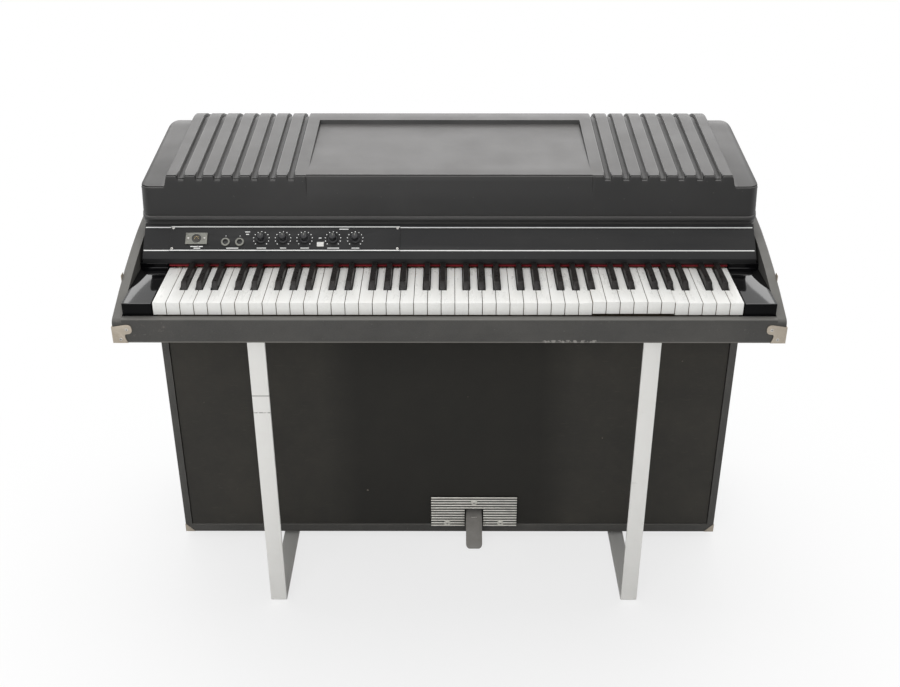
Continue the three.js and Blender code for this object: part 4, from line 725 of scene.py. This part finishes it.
def add_kick_plate():
    """A thin dark plate with bright ribs, notched for the pedal, held by three screws in oval bosses."""
    middle, back = (KICK_LOW.x + KICK_HIGH.x) / 2, KICK_HIGH.y
    notch, notch_top = mm(KICK_NOTCH_HALF, KICK_NOTCH_TOP)
    base_front, rib_front = back - KICK_BASE * MM, back - KICK_THICKNESS * MM
    left, right, full = (KICK_LOW.x, middle - notch), (middle + notch, KICK_HIGH.x), (KICK_LOW.x, KICK_HIGH.x)
    parts = []
    for (start, end), low, high in ((left, KICK_LOW.z, notch_top), (right, KICK_LOW.z, notch_top),
                                    (full, notch_top, KICK_HIGH.z)):
        part = start_block("kick_base", (start, base_front, low), (end, back, high))
        parts.append(paint(part, BLACK_PLASTIC))
    pitch = (KICK_HIGH.z - KICK_LOW.z) / KICK_RIBS
    for i in range(KICK_RIBS):
        high = KICK_HIGH.z - i * pitch
        low = high - pitch * KICK_RIB_SHARE
        for start, end in (left, right) if low < notch_top else (full,):
            rib = start_block("kick_rib", (start, rib_front, low), (end, base_front + 0.1 * MM, high))
            parts.append(paint(round_edges(rib, 0.7, 3), RIB_METAL))
    upper, lower = KICK_HIGH.z - KICK_SCREW_RIBS[0] * pitch, KICK_LOW.z + KICK_SCREW_RIBS[1] * pitch
    spread = KICK_SCREW_SPREAD * MM
    places = [(middle, upper), (middle - spread, lower), (middle + spread, lower)]
    for x, z in places:
        boss = start_disc("kick_boss", (0, 0, 0), 5.2, 1.7, 28)
        edit(boss)
        bpy.ops.transform.resize(value=(1.5, 1, 1))
        done()
        paint(round_edges(boss, 0.5, 3), RIB_METAL)
        parts.append(face_out(boss, (x, back - 2.2 * MM, z), (0, -1, 0)))
    seat(joined("kick_plate_ribbed", parts), FIXED, "bare_aluminium", "kick_plate")
    add_screws("kick_plate_screws", 2.3, [(x, rib_front, z) for x, z in places], (0, -1, 0))


def round_pedal_tip(pedal):
    """Rounds the two corners of the pedal's tip."""
    def at_tip(first, second):
        return max(first.y, second.y) < PEDAL_LOW.y + 4 * MM and abs(first.x - second.x) < 0.1 * MM
    edit(pedal, edges=at_tip)
    bpy.ops.mesh.bevel(offset=8 * MM, segments=6, affect="EDGES")
    done()


def add_pedal_mark():
    """A short bright bar let into the pedal's tread."""
    mark = start_block("pedal_mark", mm(-6.5, -1.2, -0.3), mm(6.5, 1.2, 0.35))
    paint(round_edges(mark, 0.3), SCREW_STEEL)
    slope = math.atan2(TREAD_HIGH[1] - TREAD_LOW[1], TREAD_HIGH[0] - TREAD_LOW[0])
    mark.rotation_euler = (slope, 0, 0)
    mark.location = ((PEDAL_LOW.x + PEDAL_HIGH.x) / 2, from_front(TREAD_MARK[0]), TREAD_MARK[1] * MM)
    seat(settle(mark), "sustain_pedal_body", "corner_nickel")


def add_cabinet_corner(side, sign):
    """A small nickel triangle over each lower front corner of the cabinet, on its front and on its side."""
    x, front, z = sign * HALF_CASE, from_front(CABINET_FRONT), CABINET_BOTTOM * MM
    leg, thick, gap = mm(20, 0.9, 0.1)
    end = x - sign * leg
    flat = start_block("corner_front", (x, front - thick, z), (end, front - gap, z + leg))
    cheek = start_block("corner_side", (x + sign * gap, front - thick, z),
                        (x + sign * thick, front + leg, z + leg))
    for piece, place, normal in ((flat, (end, 0, z), (-sign, 0, 1)), (cheek, (0, front + leg, z), (0, 1, 1))):
        edit(piece)
        bpy.ops.mesh.bisect(plane_co=place, plane_no=normal, use_fill=True, clear_outer=True)
        done()
    corner = round_edges(joined(f"cabinet_corner_{side}", [flat, cheek]), 0.25)
    seat(paint(corner, NICKEL), FIXED, "corner_nickel")


def is_inlet(face):
    """The mains inlet's housing on the amplifier's back."""
    x, z = face.center.x / MM, face.center.z / MM
    return (INLET_LOW[0] < x < INLET_HIGH[0] and INLET_LOW[1] < z < INLET_HIGH[1]
            and face.center.y > CABINET_BACK - INLET_REACH * MM)


def add_rear_fittings():
    """Screws round the rear board, but none over the amplifier, and the pins in the mains inlet."""
    back, half = CABINET_BACK - 2 * MM, HALF_CASE - 24 * MM
    low, high = BOARD_SCREW_LOW * MM, CABINET_TOP - 26 * MM
    left, right, top = mm(AMPLIFIER_LEFT, AMPLIFIER_RIGHT, AMPLIFIER_TOP)
    places = [(x, back, z) for x in (-half, -half / 3, half / 3, half) for z in (low, high)]
    places += [(x, back, (low + high) / 2) for x in (-half, half)]
    places = [place for place in places if not (left < place[0] < right and place[2] < top)]
    add_screws("rear_board_screws", 3.6, places, (0, 1, 0))
    pins = []
    for x, z in INLET_PINS:
        pin = start_block("inlet_pin", ((x - 0.9) * MM, back - 13.5 * MM, (z - 2.2) * MM),
                          ((x + 0.9) * MM, back - 3 * MM, (z + 2.2) * MM))
        pins.append(paint(round_edges(pin, 0.3), SCREW_STEEL))
    seat(joined("inlet_pins", pins), FIXED, "plain_steel")


def finish_the_cabinet():
    dressed("cabinet_shell", "case_vinyl", [VINYL, RUBBER], 2.0, segments=3,
            second=lambda face: face.center.z < (CABINET_BOTTOM - 0.2) * MM)
    dressed("front_grille", "grille_cloth", [CLOTH], 1.2)
    dressed("rear_grille", "grille_cloth", [CLOTH, SPEAKER_BLACK], 1.2,
            second=lambda face: face.center.y < from_front(BOARD_SETBACK))
    add_kick_plate()
    for side, sign in SIDES:
        dressed(f"woofer_{side}", "speaker_black", [SPEAKER_BLACK], 1.0)
        add_cabinet_corner(side, sign)
    dressed("amplifier", "bare_aluminium", [AMPLIFIER_METAL, BLACK_PLASTIC], 0.7, second=is_inlet)
    dressed("sustain_pedal", "pedal_metal", [PEDAL_PAINT], 1.2, segments=3, body="sustain_pedal_body",
            shape=round_pedal_tip)
    add_pedal_mark()
    dressed("pedal_rod", "plain_steel", [STEEL], 0.4, body="pedal_rod_body")
    add_rear_fittings()


# Keys
LEVER_TOP = from_underside(66)
KEY_FRONT, CAP_END, KEY_PIVOT = from_front(15.5), from_front(159.5), from_front(230)
KEY_PITCH, KEYBOARD_LEFT = 23.586, -509.1
HIGH_KEYS, HIGH_KEY_RISE = (32, 38), 2.3
OVER_RAIL = from_underside(44)


def is_white_top(face):
    """Cap faces, and the lip that covers the lever's front end."""
    middle, normal = face.center, face.normal
    if middle.y > CAP_END + MM:
        return False
    return middle.z > LEVER_TOP - 0.2 * MM or (normal.y < -0.5 and middle.y < KEY_FRONT + 2 * MM)


def is_black_top(face):
    return face.center.z > LEVER_TOP - 3.6 * MM and face.center.y < CAP_END - 2 * MM


def lift_high_keys(rail):
    """Six of the white keys to the right stand a little proud, as old keys do."""
    left, right = ((KEYBOARD_LEFT + i * KEY_PITCH) * MM for i in HIGH_KEYS)
    for vertex in rail.data.vertices:
        x, y, z = vertex.co
        if left < x < right and y < KEY_PIVOT - 20 * MM and z > OVER_RAIL:
            vertex.co.z += HIGH_KEY_RISE * MM * (KEY_PIVOT - y) / (KEY_PIVOT - KEY_FRONT)


def finish_the_keys():
    white = {"slot": "key_white", "finishes": [SPRUCE, IVORY], "edge": 0.7, "second": is_white_top}
    black = {"slot": "key_black", "finishes": [SPRUCE, EBONY], "edge": 1.0, "second": is_black_top}
    black["segments"] = 3
    dressed("balance_rail", **white, clamp=False, shape=lift_high_keys)
    dressed("back_rail", **black, clamp=False)
    for name in frame["nodes"]:
        if name.startswith("key_") and name != "key_frame":
            dressed(name, **(black if "sharp" in name else white), body=f"{name}_body")
    dressed("key_frame", "frame_wood", [SPRUCE], 1.0)


# Name rail and its controls, drawn in the slanted face's own frame: X along it, Y up it, Z out of it
PLATE_ENDS, PLATE_TOP = (-508, -90), 1.8
PLATE_SCREW_INSET, PLATE_SCREW_RISES = 4.5, (4.4, 45.2)
STRIPES = {"low": (1.5, 1.0), "high": (47.6, 48.0)}      # rise on the rail and over the control plate
STRIPE_HALF, STRIPE_GAP, STRIPE_ENDS = 1.0, 0.4, (-555, 553.5)
SOCKET_X, SOCKET_RISE, SOCKET_TOP = -460, 24, 4.1
SOCKET_PINS, SOCKET_PIN_CIRCLE, SOCKET_SCREW_SPREAD = 5, 3.6, 14.6
JACK_XS, JACK_RISE, JACK_RADIUS, JACK_HOLE = (-406.8, -381.1), 17, 8.1, 4.9
KNOBS = {"volume": -342.2, "bass": -302.7, "treble": -263.5, "vibrato_depth": -211.8, "vibrato_rate": -171.5}
KNOB_RISE, KNOB_FOOT, KNOB_SIDES, GRIP_FOOT = 24, 2.1, 48, 6
DIAL_RADIUS, DIAL_DOTS, DIAL_START, DIAL_SWEEP = 14.2, 11, 225, 270
BAR_WIDTHS = (17, 11, 15.5, 21.5, 14)
OTHER_BARS = (
    (SOCKET_X - 3.5, 8.6, 14), (SOCKET_X + 8.5, 8.6, 8), (SOCKET_X + 2, 5.3, 12),
    (-367.8, 37.7, 9), (-367.8, 32.9, 5.5), (-394, 5.4, 22), (-235.2, 25.6, 5), (-192.5, 43.4, 17),
    (JACK_XS[0], 29.6, 1.4), (JACK_XS[1], 29.6, 1.4),
)


def add_stripe(name, rise, start, end, out):
    """A silver stripe along the slanted face: a thin strip with its long edges rounded."""
    low = mm(start, rise - STRIPE_HALF, out - 0.2)
    stripe = round_edges(start_block(name, low, mm(end, rise + STRIPE_HALF, out + 0.35)), 0.2)
    seat(paint(lay_on_rail(stripe), PRINT), FIXED, "bare_aluminium")


def add_stripes():
    """Each stripe runs on over the control plate."""
    left, right = PLATE_ENDS
    for row, (rise, plate_rise) in STRIPES.items():
        add_stripe(f"rail_stripe_{row}_left", rise, STRIPE_ENDS[0], left - STRIPE_GAP, 0)
        add_stripe(f"rail_stripe_{row}_plate", plate_rise, left + STRIPE_GAP, right - STRIPE_GAP, PLATE_TOP)
        add_stripe(f"rail_stripe_{row}_right", rise, right + STRIPE_GAP, STRIPE_ENDS[1], 0)


def print_bar(x, rise, width, height=1.7):
    """A short plain bar of print on the control plate."""
    low = mm(x - width / 2, rise - height / 2, PLATE_TOP - 0.05)
    bar = start_block("print_bar", low, mm(x + width / 2, rise + height / 2, PLATE_TOP + 0.1))
    return round_edges(bar, 0.06, 1)


def add_rail_print():
    """Dots round each dial, and plain short bars."""
    first = start_disc("dial_dot", (0, 0, PLATE_TOP + 0.03), 1.0, 0.16, 12)
    marks = []
    for x in KNOBS.values():
        for i in range(DIAL_DOTS):
            angle = math.radians(DIAL_START - DIAL_SWEEP * i / (DIAL_DOTS - 1))
            offset = mm(x + DIAL_RADIUS * math.cos(angle), KNOB_RISE + DIAL_RADIUS * math.sin(angle), 0)
            marks.append(twin(first, "dial_dot_copy", offset))
    bpy.data.objects.remove(first)
    marks += [print_bar(x + 1, 5.6, width) for x, width in zip(KNOBS.values(), BAR_WIDTHS)]
    marks += [print_bar(*bar) for bar in OTHER_BARS]
    prints = lay_on_rail(paint(joined("rail_print", marks), PRINT))
    seat(prints, FIXED, "bare_aluminium")


def add_socket_fittings():
    """The round socket in its plate: a rim, a dark cup and its pins, with a screw at each side."""
    let_go()
    bpy.ops.mesh.primitive_torus_add(major_radius=7.7 * MM, minor_radius=0.7 * MM, major_segments=40,
                                     minor_segments=10, location=mm(SOCKET_X, SOCKET_RISE, SOCKET_TOP + 0.1))
    rim = settle(bpy.context.object)
    bpy.ops.object.shade_smooth()
    cup = start_disc("socket_cup", (SOCKET_X, SOCKET_RISE, SOCKET_TOP - 1.0), 7.2, 0.5, 32)
    parts = [paint(rim, BLACK_PLASTIC), paint(cup, CUP_METAL)]
    for i in range(SOCKET_PINS):
        angle = math.radians(45 * i)
        x = SOCKET_X + SOCKET_PIN_CIRCLE * math.cos(angle)
        centre = (x, SOCKET_RISE + SOCKET_PIN_CIRCLE * math.sin(angle), SOCKET_TOP - 0.6)
        parts.append(paint(start_disc("socket_pin", centre, 0.55, 1.4, 10), BRASS))
    seat(lay_on_rail(joined("socket_fittings", parts)), FIXED, "plain_steel")
    places = [on_rail(SOCKET_X + side * SOCKET_SCREW_SPREAD, SOCKET_RISE, SOCKET_TOP) for side in (-1, 1)]
    add_screws("socket_screws", 1.9, places, RAIL_OUT)


def add_jack_ring(index, x):
    """A bright ring nut round a dark hole."""
    nut = start_disc(f"jack_ring_{index}", (x, JACK_RISE, PLATE_TOP + 1.45), JACK_RADIUS, 2.9, 36)
    edit(nut, faces=looks_up)
    inset_and_lift(1.1, 0.35)
    done()
    edit(nut, faces=lambda face: looks_up(face) and face.area > 60e-6)
    bpy.ops.mesh.inset(thickness=2.0 * MM, depth=0)
    extrude_up(-2.4)
    done()
    paint(round_edges(nut, 0.25), SOCKET_METAL, HOLE_SHADE)
    for face in nut.data.polygons:
        away = math.hypot(face.center.x - x * MM, face.center.y - JACK_RISE * MM)
        face.material_index = 1 if away < JACK_HOLE * MM else 0
    seat(lay_on_rail(nut), FIXED, "corner_nickel")


def is_flute(face):
    """Half of the faces round a knob's grip: those with an even number."""
    return abs(face.normal.z) < 0.3 and face.center.z > GRIP_FOOT * MM and face.index % 2 == 0


def add_knob(name, x):
    """A skirted black knob with a ribbed grip and a white line on its top."""
    knob = start_disc("knob_body", (0, 0, 1.0), 9.4, 1.8, KNOB_SIDES)
    edit(knob, faces=looks_up)
    inset_and_lift(1.9, 1.6)
    bpy.ops.mesh.inset(thickness=0.5 * MM, depth=0)
    extrude_up(10.4)
    bpy.ops.transform.resize(value=(0.84, 0.84, 1))
    inset_and_lift(0.8, 0.7)
    done()
    edit(knob, faces=is_flute)
    bpy.ops.mesh.inset(thickness=0.12 * MM, depth=-0.28 * MM, use_individual=True)
    done()
    paint(round_edges(knob, 0.18, 2, 30), BLACK_PLASTIC)
    line = round_edges(start_block("knob_line", mm(-0.55, 0.4, 14.2), mm(0.55, 5.4, 14.72)), 0.1, 1)
    whole = joined(f"knob_{name}_turned", [knob, paint(line, SOCKET_METAL)])
    whole.location = mm(x, KNOB_RISE, KNOB_FOOT)
    seat(lay_on_rail(settle(whole)), f"knob_{name}_body", "black_plastic", f"knob_{name}")


def finish_the_rail():
    dressed("name_rail", "rail_black", [RAIL_PAINT], 0.8)
    dressed("rail_felt", "felt_red", [FELT], 0.8)
    dressed("control_plate", "rail_black", [RAIL_PAINT], 0.25)
    dressed("preamp_socket", "bare_aluminium", [SOCKET_METAL], 0.4)
    dressed("vibrato_switch", "switch_white", [SWITCH_WHITE], 0.4, body="vibrato_switch_body")
    for name, x in KNOBS.items():
        add_knob(name, x)
    for index, x in enumerate(JACK_XS):
        add_jack_ring(index, x)
    add_stripes()
    add_rail_print()
    add_socket_fittings()
    ends = (PLATE_ENDS[0] + PLATE_SCREW_INSET, PLATE_ENDS[1] - PLATE_SCREW_INSET)
    places = [on_rail(x, rise, PLATE_TOP) for x in ends for rise in PLATE_SCREW_RISES]
    add_screws("control_plate_screws", 2.4, places, RAIL_OUT)


# Lid: places are a setback and a height, and widths run from the lid's middle
LID_RIDGE, LID_BEND, LID_CORNER, LID_BACK = (215, 225), (480, 249.3), (545, 235), (560, 215)
LID_FRONT, LID_FOOT, LID_WALL, LID_SHARP = 207, 112, 2.6, 38
PLAIN_STATIONS = (0.0, 60, 120, 180, 230, 250, 264, 270, 522, 534, 542.5, 545)
UNDER_BEAD, OVER_BEAD = (134.6, 138.6, 140.2), (151.2, 153)
BEAD_MIDDLE, BEAD_REACH, BEAD_HALF, BEAD_STEPS = 145.5, 5.5, 5.0, 8
WALL_START, WALL_LEAN, WALL_SHARES = 154, 0.085, (0.15, 0.3, 0.45, 0.6, 0.75, 0.88, 1.0)
EDGE_RADIUS, MOUTH_RADIUS, EDGE_STEPS = 1.7, 1.6, 4
GROOVE_FIRST, GROOVE_PITCH, GROOVE_COUNT = 285, 33.15, 7
GROOVE_HALF_TOP, GROOVE_HALF_FLOOR, GROOVE_DEPTH = 5.5, 4.7, 6.5
GROOVE_STEPS = (0, 0.7, 1.4, 2.6, 3.8, 4.3, 4.7, 5.0, 5.25, 5.5, 5.9, 6.6, 7.4, 8.5, 12)
MOUTH_RUN, MOUTH_SPREAD = 12, 3.0
LIP_END, LIP_DROP = 0.3, 1.1
LINE_END, LINE_DROP, LINE_POINTS = 2.3, 3.0, range(26, 29)
LIP_STEPS = (0.25, 0.4, 0.6, 2.2, 2.4, 2.7)
TOP_START, TOP_STEPS = 7, 36
SINK_HALF, SINK_DEPTH, SINK_FALL = 258, 2.5, 40
CLEAN_RUN = 210
PANEL_HALF, PANEL_FRONT, PANEL_BACK, PANEL_DEPTH = 256, 243, 466, 8
SHOULDER_INNER, SHOULDER_OUTER = 509, 515.5
SHOULDER_DROP_FRONT, SHOULDER_DROP_BACK = 20.5, 14
ROUND_START, ROUND_DROP = 547, 11
HALF_TOP, END_FLARE = 563, 3
CORNER_WIDTH, CORNER_RUN = 22, 42


def ease(share):
    share = min(1.0, max(0.0, share))
    return share * share * (3 - 2 * share)


def quarter_round(share):
    """How far a quarter circle has fallen at a share of its width."""
    return 1 - math.sqrt(max(0.0, 1 - share * share))


def lid_height(setback):
    """Height of the lid's top: a plane that rises backwards, then a bend down to the back."""
    slope = (LID_BEND[1] - LID_RIDGE[1]) / (LID_BEND[0] - LID_RIDGE[0])
    height = LID_RIDGE[1] + slope * (setback - LID_RIDGE[0])
    bend = LID_CORNER[0] - LID_BEND[0]
    over = max(0, setback - LID_BEND[0])
    return height - (LID_BEND[1] + slope * bend - LID_CORNER[1]) * (over / bend) ** 2


def from_groove(x):
    """Distance from the nearest groove's middle: below zero towards the lid's middle."""
    return min((x - GROOVE_FIRST - i * GROOVE_PITCH for i in range(GROOVE_COUNT)), key=abs)


def groove_share(x, setback):
    """0 on a rib, 1 on a groove's floor. Grooves widen over the last millimetres before the front wall."""
    spread = MOUTH_SPREAD * (1 - ease((setback - LID_RIDGE[0]) / MOUTH_RUN))
    wall = GROOVE_HALF_TOP + spread - GROOVE_HALF_FLOOR
    return 1 - ease((abs(from_groove(x)) - GROOVE_HALF_FLOOR) / wall)


def painted_shade_at(x, setback, point):
    """Painted shade: the line behind the lip, a groove's floor, most along the wall nearer the middle,
    and the front of the outer ends."""
    if point in LINE_POINTS:
        return 1.0
    if x > SHOULDER_OUTER:
        return 0.55 * max(0.0, 1 - (setback - LID_RIDGE[0]) / CLEAN_RUN)
    offset = from_groove(x)
    if abs(offset) > GROOVE_HALF_FLOOR + 0.1:
        return 0.0
    return 1.0 if offset < -2.5 else 0.6


def painted_highlight_at(x):
    """Painted highlight: the ribs' edges towards the middle, and the groove walls that face it, are painted
    paler.
    """
    offset = from_groove(x)
    if GROOVE_HALF_FLOOR < offset < GROOVE_HALF_TOP + 0.1:
        return 1.0
    return 0.5 if -6.7 < offset < -GROOVE_HALF_TOP + 0.1 else 0.0


def sink_share(x, height):
    """How far the middle of the front wall has sunk: all at the ridge, nothing lower down."""
    side = 1 - ease((x - SINK_HALF + 0.8) / 1.6)
    return side * min(1, max(0, 1 - (LID_RIDGE[1] - height) / SINK_FALL))


def shoulder_drop(x, setback):
    """How far the outer ends lie below the ribbed top."""
    back = share_between(setback, LID_RIDGE[0], LID_CORNER[0])
    full = SHOULDER_DROP_FRONT + back * (SHOULDER_DROP_BACK - SHOULDER_DROP_FRONT)
    step = full * ease((x - SHOULDER_INNER) / (SHOULDER_OUTER - SHOULDER_INNER))
    return step + ROUND_DROP * quarter_round(share_between(x, ROUND_START, HALF_TOP))


def top_drop(x, setback):
    """How far a shoulder or a groove lies below the ribs' tops."""
    return shoulder_drop(x, setback) + GROOVE_DEPTH * groove_share(x, setback)


def panel_drop(x, setback):
    """How deep the sunk panel lies below the top: flush in front, deep at the back."""
    if setback < PANEL_FRONT or setback > PANEL_BACK + 1.5:
        return 0.0
    depth = PANEL_DEPTH * share_between(setback, PANEL_FRONT, PANEL_BACK) ** 0.8
    side = 1 - ease((x - PANEL_HALF + 0.5) / 1.0)
    rear = 1 - ease((setback - PANEL_BACK + 1.2) / 2.4)
    return depth * side * rear


def lid_stations():
    """Distances from the middle at which the lid is drawn, close together at each groove's walls."""
    stations = set(PLAIN_STATIONS)
    for middle in (PANEL_HALF, SINK_HALF):
        stations |= {middle + offset for offset in (-0.9, -0.5, 0, 0.5, 0.9)}
    for i in range(GROOVE_COUNT):
        middle = GROOVE_FIRST + i * GROOVE_PITCH
        for offset in GROOVE_STEPS:
            stations |= {middle - offset, middle + offset}
    stations |= {SHOULDER_INNER + i * (SHOULDER_OUTER - SHOULDER_INNER) / 6 for i in range(7)}
    stations |= {ROUND_START + (HALF_TOP - ROUND_START) * math.sin(i * math.pi / 16) for i in range(9)}
    half = sorted(x for x in stations if x <= HALF_TOP)
    return [-x for x in reversed(half) if x] + half


def lid_profile(x):
    """Points (setback, height) of the lid's outside at a station, from its front foot to its back foot."""
    reach = abs(x)
    mouth = groove_share(reach, LID_RIDGE[0])
    ridge = LID_RIDGE[1] - top_drop(reach, LID_RIDGE[0]) - LIP_DROP
    front = LID_FRONT + CORNER_RUN * quarter_round(share_between(reach, HALF_TOP - CORNER_WIDTH, HALF_TOP))
    points = [(front, height) for height in UNDER_BEAD]
    for i in range(BEAD_STEPS + 1):
        angle = math.pi * i / BEAD_STEPS
        height = BEAD_MIDDLE - BEAD_HALF * math.cos(angle)
        points.append((front - BEAD_REACH * math.sin(angle) ** 0.6, height))
    points += [(front, height) for height in OVER_BEAD]
    radius = EDGE_RADIUS + MOUTH_RADIUS * mouth
    head = ridge - radius
    lean = (head - WALL_START) * WALL_LEAN
    for share in WALL_SHARES:
        height = WALL_START + share * (head - WALL_START)
        points.append((front + share * lean + SINK_DEPTH * sink_share(reach, height), height))
    start = front + lean + SINK_DEPTH * sink_share(reach, ridge)
    for i in range(1, EDGE_STEPS + 1):
        angle = math.pi / 2 * i / EDGE_STEPS
        points.append((start + radius * (1 - math.cos(angle)), head + radius * math.sin(angle)))
    start += radius
    tops = [start + step for step in LIP_STEPS] + [PANEL_BACK + step for step in (-1.2, -0.4, 0.4, 1.2)]
    run = LID_CORNER[0] - start - TOP_START
    tops += [start + TOP_START + run * i / TOP_STEPS for i in range(TOP_STEPS + 1)]
    for setback in sorted(tops):
        drop = top_drop(reach, setback) + panel_drop(reach, setback)
        if setback - start < LIP_END:
            drop += LIP_DROP
        elif setback - start < LINE_END:
            drop += LINE_DROP
        points.append((setback, lid_height(max(setback, LID_RIDGE[0])) - drop))
    corner = LID_CORNER[1] - top_drop(reach, LID_CORNER[0])
    run, fall = LID_BACK[0] - LID_CORNER[0], LID_CORNER[1] - LID_BACK[1]
    for i in range(1, 6):
        angle = math.pi / 2 * i / 5
        points.append((LID_CORNER[0] + run * math.sin(angle), corner - fall * (1 - math.cos(angle))))
    low = corner - fall
    points += [(LID_BACK[0], low + share * (LID_FOOT - low)) for share in (0.25, 0.5, 0.75, 1.0)]
    return points


def add_lid():
    """The lid's skin by formula: a profile at each station, joined across, with both ends closed."""
    stations = lid_stations()
    profiles = [lid_profile(x) for x in stations]
    vertices = []
    # Values on each point for the lid's painted shade and painted highlight.
    shades = {"painted_shade": [], "wear_and_highlight": []}
    for x, profile in zip(stations, profiles):
        for point, (setback, height) in enumerate(profile):
            flare = 0
            if abs(x) > SHOULDER_INNER:
                flare = math.copysign(END_FLARE * share_between(height, LID_RIDGE[1], LID_FOOT), x)
            vertices.append(((x + flare) * MM, from_front(setback), from_underside(height)))
            on_top = point >= LINE_POINTS[0]
            shades["painted_shade"].append(painted_shade_at(abs(x), setback, point) if on_top else 0.0)
            shades["wear_and_highlight"].append(painted_highlight_at(abs(x)) if on_top else 0.0)
    count = len(profiles[0])
    last = (len(stations) - 1) * count
    faces = [(a, a + 1, a + 1 + count, a + count)
             for a in range(last) if a % count < count - 1]
    faces += [tuple(range(count - 1, -1, -1)), tuple(range(last, last + count))]
    mesh = bpy.data.meshes.new("lid_shell")
    mesh.from_pydata(vertices, [], faces)
    for name, values in shades.items():
        mesh.attributes.new(name, "FLOAT", "POINT").data.foreach_set("value", values)
    lid = into_scene("lid_shell", mesh)
    edit(lid)
    bpy.ops.mesh.normals_make_consistent(inside=False)
    done()
    skin = lid.modifiers.new("moulded_wall", "SOLIDIFY")
    skin.thickness = LID_WALL * MM
    skin.offset = -1
    bpy.ops.object.modifier_apply(modifier=skin.name)
    bpy.ops.object.shade_smooth_by_angle(angle=math.radians(LID_SHARP))
    seat(paint(lid, LID_PLASTIC), "lid_body", "lid_plastic", "lid")


# Harp, seen when the lid is off
KEY_COUNT, FIRST_NOTE = 73, 4
TONE_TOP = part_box("tone_bars")[1].z
HARP_SIDE, HARP_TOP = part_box("harp_frame")[1].x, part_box("harp_frame")[1].z
TINE_HEIGHT = HARP_TOP + (0.3 + 9.5) * MM
TONE_SCREW_SETBACKS = (277, 298)
TINE_ROOT, TINE_LONGEST, TINE_SHORTEST = 316, 157, 18
TIP_SETBACK, TIP_TOP = 324, 102.5
DAMPER_FELT_BACK, DAMPER_FELT_LOW = 338.2, 101
HARP_SCREW_HEIGHT, HARP_SCREW_SETBACKS = 17.3, (256, 330, 420, 505)


def tail_x(key):
    """Middle of a key's lever, and of the hammer, tone bar and pickup over it, in millimetres."""
    octave, note = divmod(FIRST_NOTE + key, 12)
    left = KEYBOARD_LEFT - 2 * KEY_PITCH + octave * 7 * KEY_PITCH
    if note < 5:
        return left + (note + 0.5) * 3 * KEY_PITCH / 5
    return left + 3 * KEY_PITCH + (note - 4.5) * 4 * KEY_PITCH / 7


def tine_tip(key):
    return TINE_ROOT + TINE_LONGEST * (TINE_SHORTEST / TINE_LONGEST) ** (key / (KEY_COUNT - 1))


def repeat(first, name, finish, slot, z, *setbacks):
    """Copies of one small piece at a height over each key's tail, joined into one. Each setback of theirs
    is a length, or a function of the key's number."""
    copies = []
    for key in range(KEY_COUNT):
        for setback in setbacks:
            y = from_front(setback(key) if callable(setback) else setback)
            copies.append(twin(first, f"{name}_{len(copies)}", (tail_x(key) * MM, y, z)))
    bpy.data.objects.remove(first)
    seat(paint(joined(name, copies), finish), FIXED, slot)


def add_tone_bar_screws():
    """Two screws hold each tone bar."""
    screw = start_disc("tone_screw", (0, 0, 1.1), 2.3, 2.2, 8)
    edit(screw, faces=looks_up)
    inset_and_lift(0.5, 0.5)
    done()
    repeat(screw, "tone_bar_screws", SCREW_STEEL, "plain_steel", TONE_TOP, *TONE_SCREW_SETBACKS)


def add_tuning_springs():
    """A small coil slides on each tine to tune it."""
    spring = start_disc("tuning_spring", (0, 0, 0), 2.3, 6, 8, (math.pi / 2, 0, 0))
    for offset in (-1.5, 0, 1.5):
        split_at(spring, (0, offset * MM, 0), (0, 1, 0))
    repeat(spring, "tuning_springs", STEEL, "plain_steel", TINE_HEIGHT, lambda key: tine_tip(key) - 5)


def add_pickup_pins():
    """The pole that sticks out of each pickup towards its tine."""
    pin = start_disc("pickup_pin", (0, 0, 0), 2.1, 1.6, 10, (math.pi / 2, 0, 0))
    repeat(pin, "pickup_pins", BRASS, "plain_steel", TINE_HEIGHT, lambda key: tine_tip(key) + 1.0)


def add_hammer_tips():
    """A rubber tip on each hammer's head."""
    tip = round_edges(start_block("hammer_tip", mm(-2.6, -3.2, 0), mm(2.6, 3.2, 2.4)), 0.7, 1)
    repeat(tip, "hammer_tips", TIP_RUBBER, "hammer_wood", from_underside(TIP_TOP), TIP_SETBACK)


def add_harp_screws():
    """Screws along both end plates' feet."""
    plate_x, z = HARP_SIDE - 7 * MM, from_underside(HARP_SCREW_HEIGHT)
    places = [(sign * plate_x, from_front(back), z) for _, sign in SIDES for back in HARP_SCREW_SETBACKS]
    add_screws("harp_screws", 3.2, places, (0, 0, 1))


def is_damper_felt(face):
    return face.center.y < from_front(DAMPER_FELT_BACK) and face.center.z > from_underside(DAMPER_FELT_LOW)


def finish_the_harp():
    dressed("harp_frame", "bare_aluminium", [ALUMINIUM], 0.6)
    dressed("tone_bars", "plain_steel", [STEEL], 0.4, clamp=False)
    dressed("pickup_rail", "black_plastic", [BLACK_PLASTIC], 0.5, clamp=False)
    dressed("hammer_rail", "hammer_wood", [MAPLE], 0.5, clamp=False)
    dressed("damper_rail", "bare_aluminium", [ALUMINIUM, DAMPER_FELT], 0.4, clamp=False,
            second=is_damper_felt)
    dressed("release_bar", "plain_steel", [STEEL], 0.4, body="release_bar_body", clamp=False)
    add_tone_bar_screws()
    add_tuning_springs()
    add_pickup_pins()
    add_hammer_tips()
    add_harp_screws()


add_camera()
light_the_studio()
lay_floor()
finish_the_cabinet()
finish_the_case()
finish_the_keys()
finish_the_rail()
finish_the_harp()
add_lid()
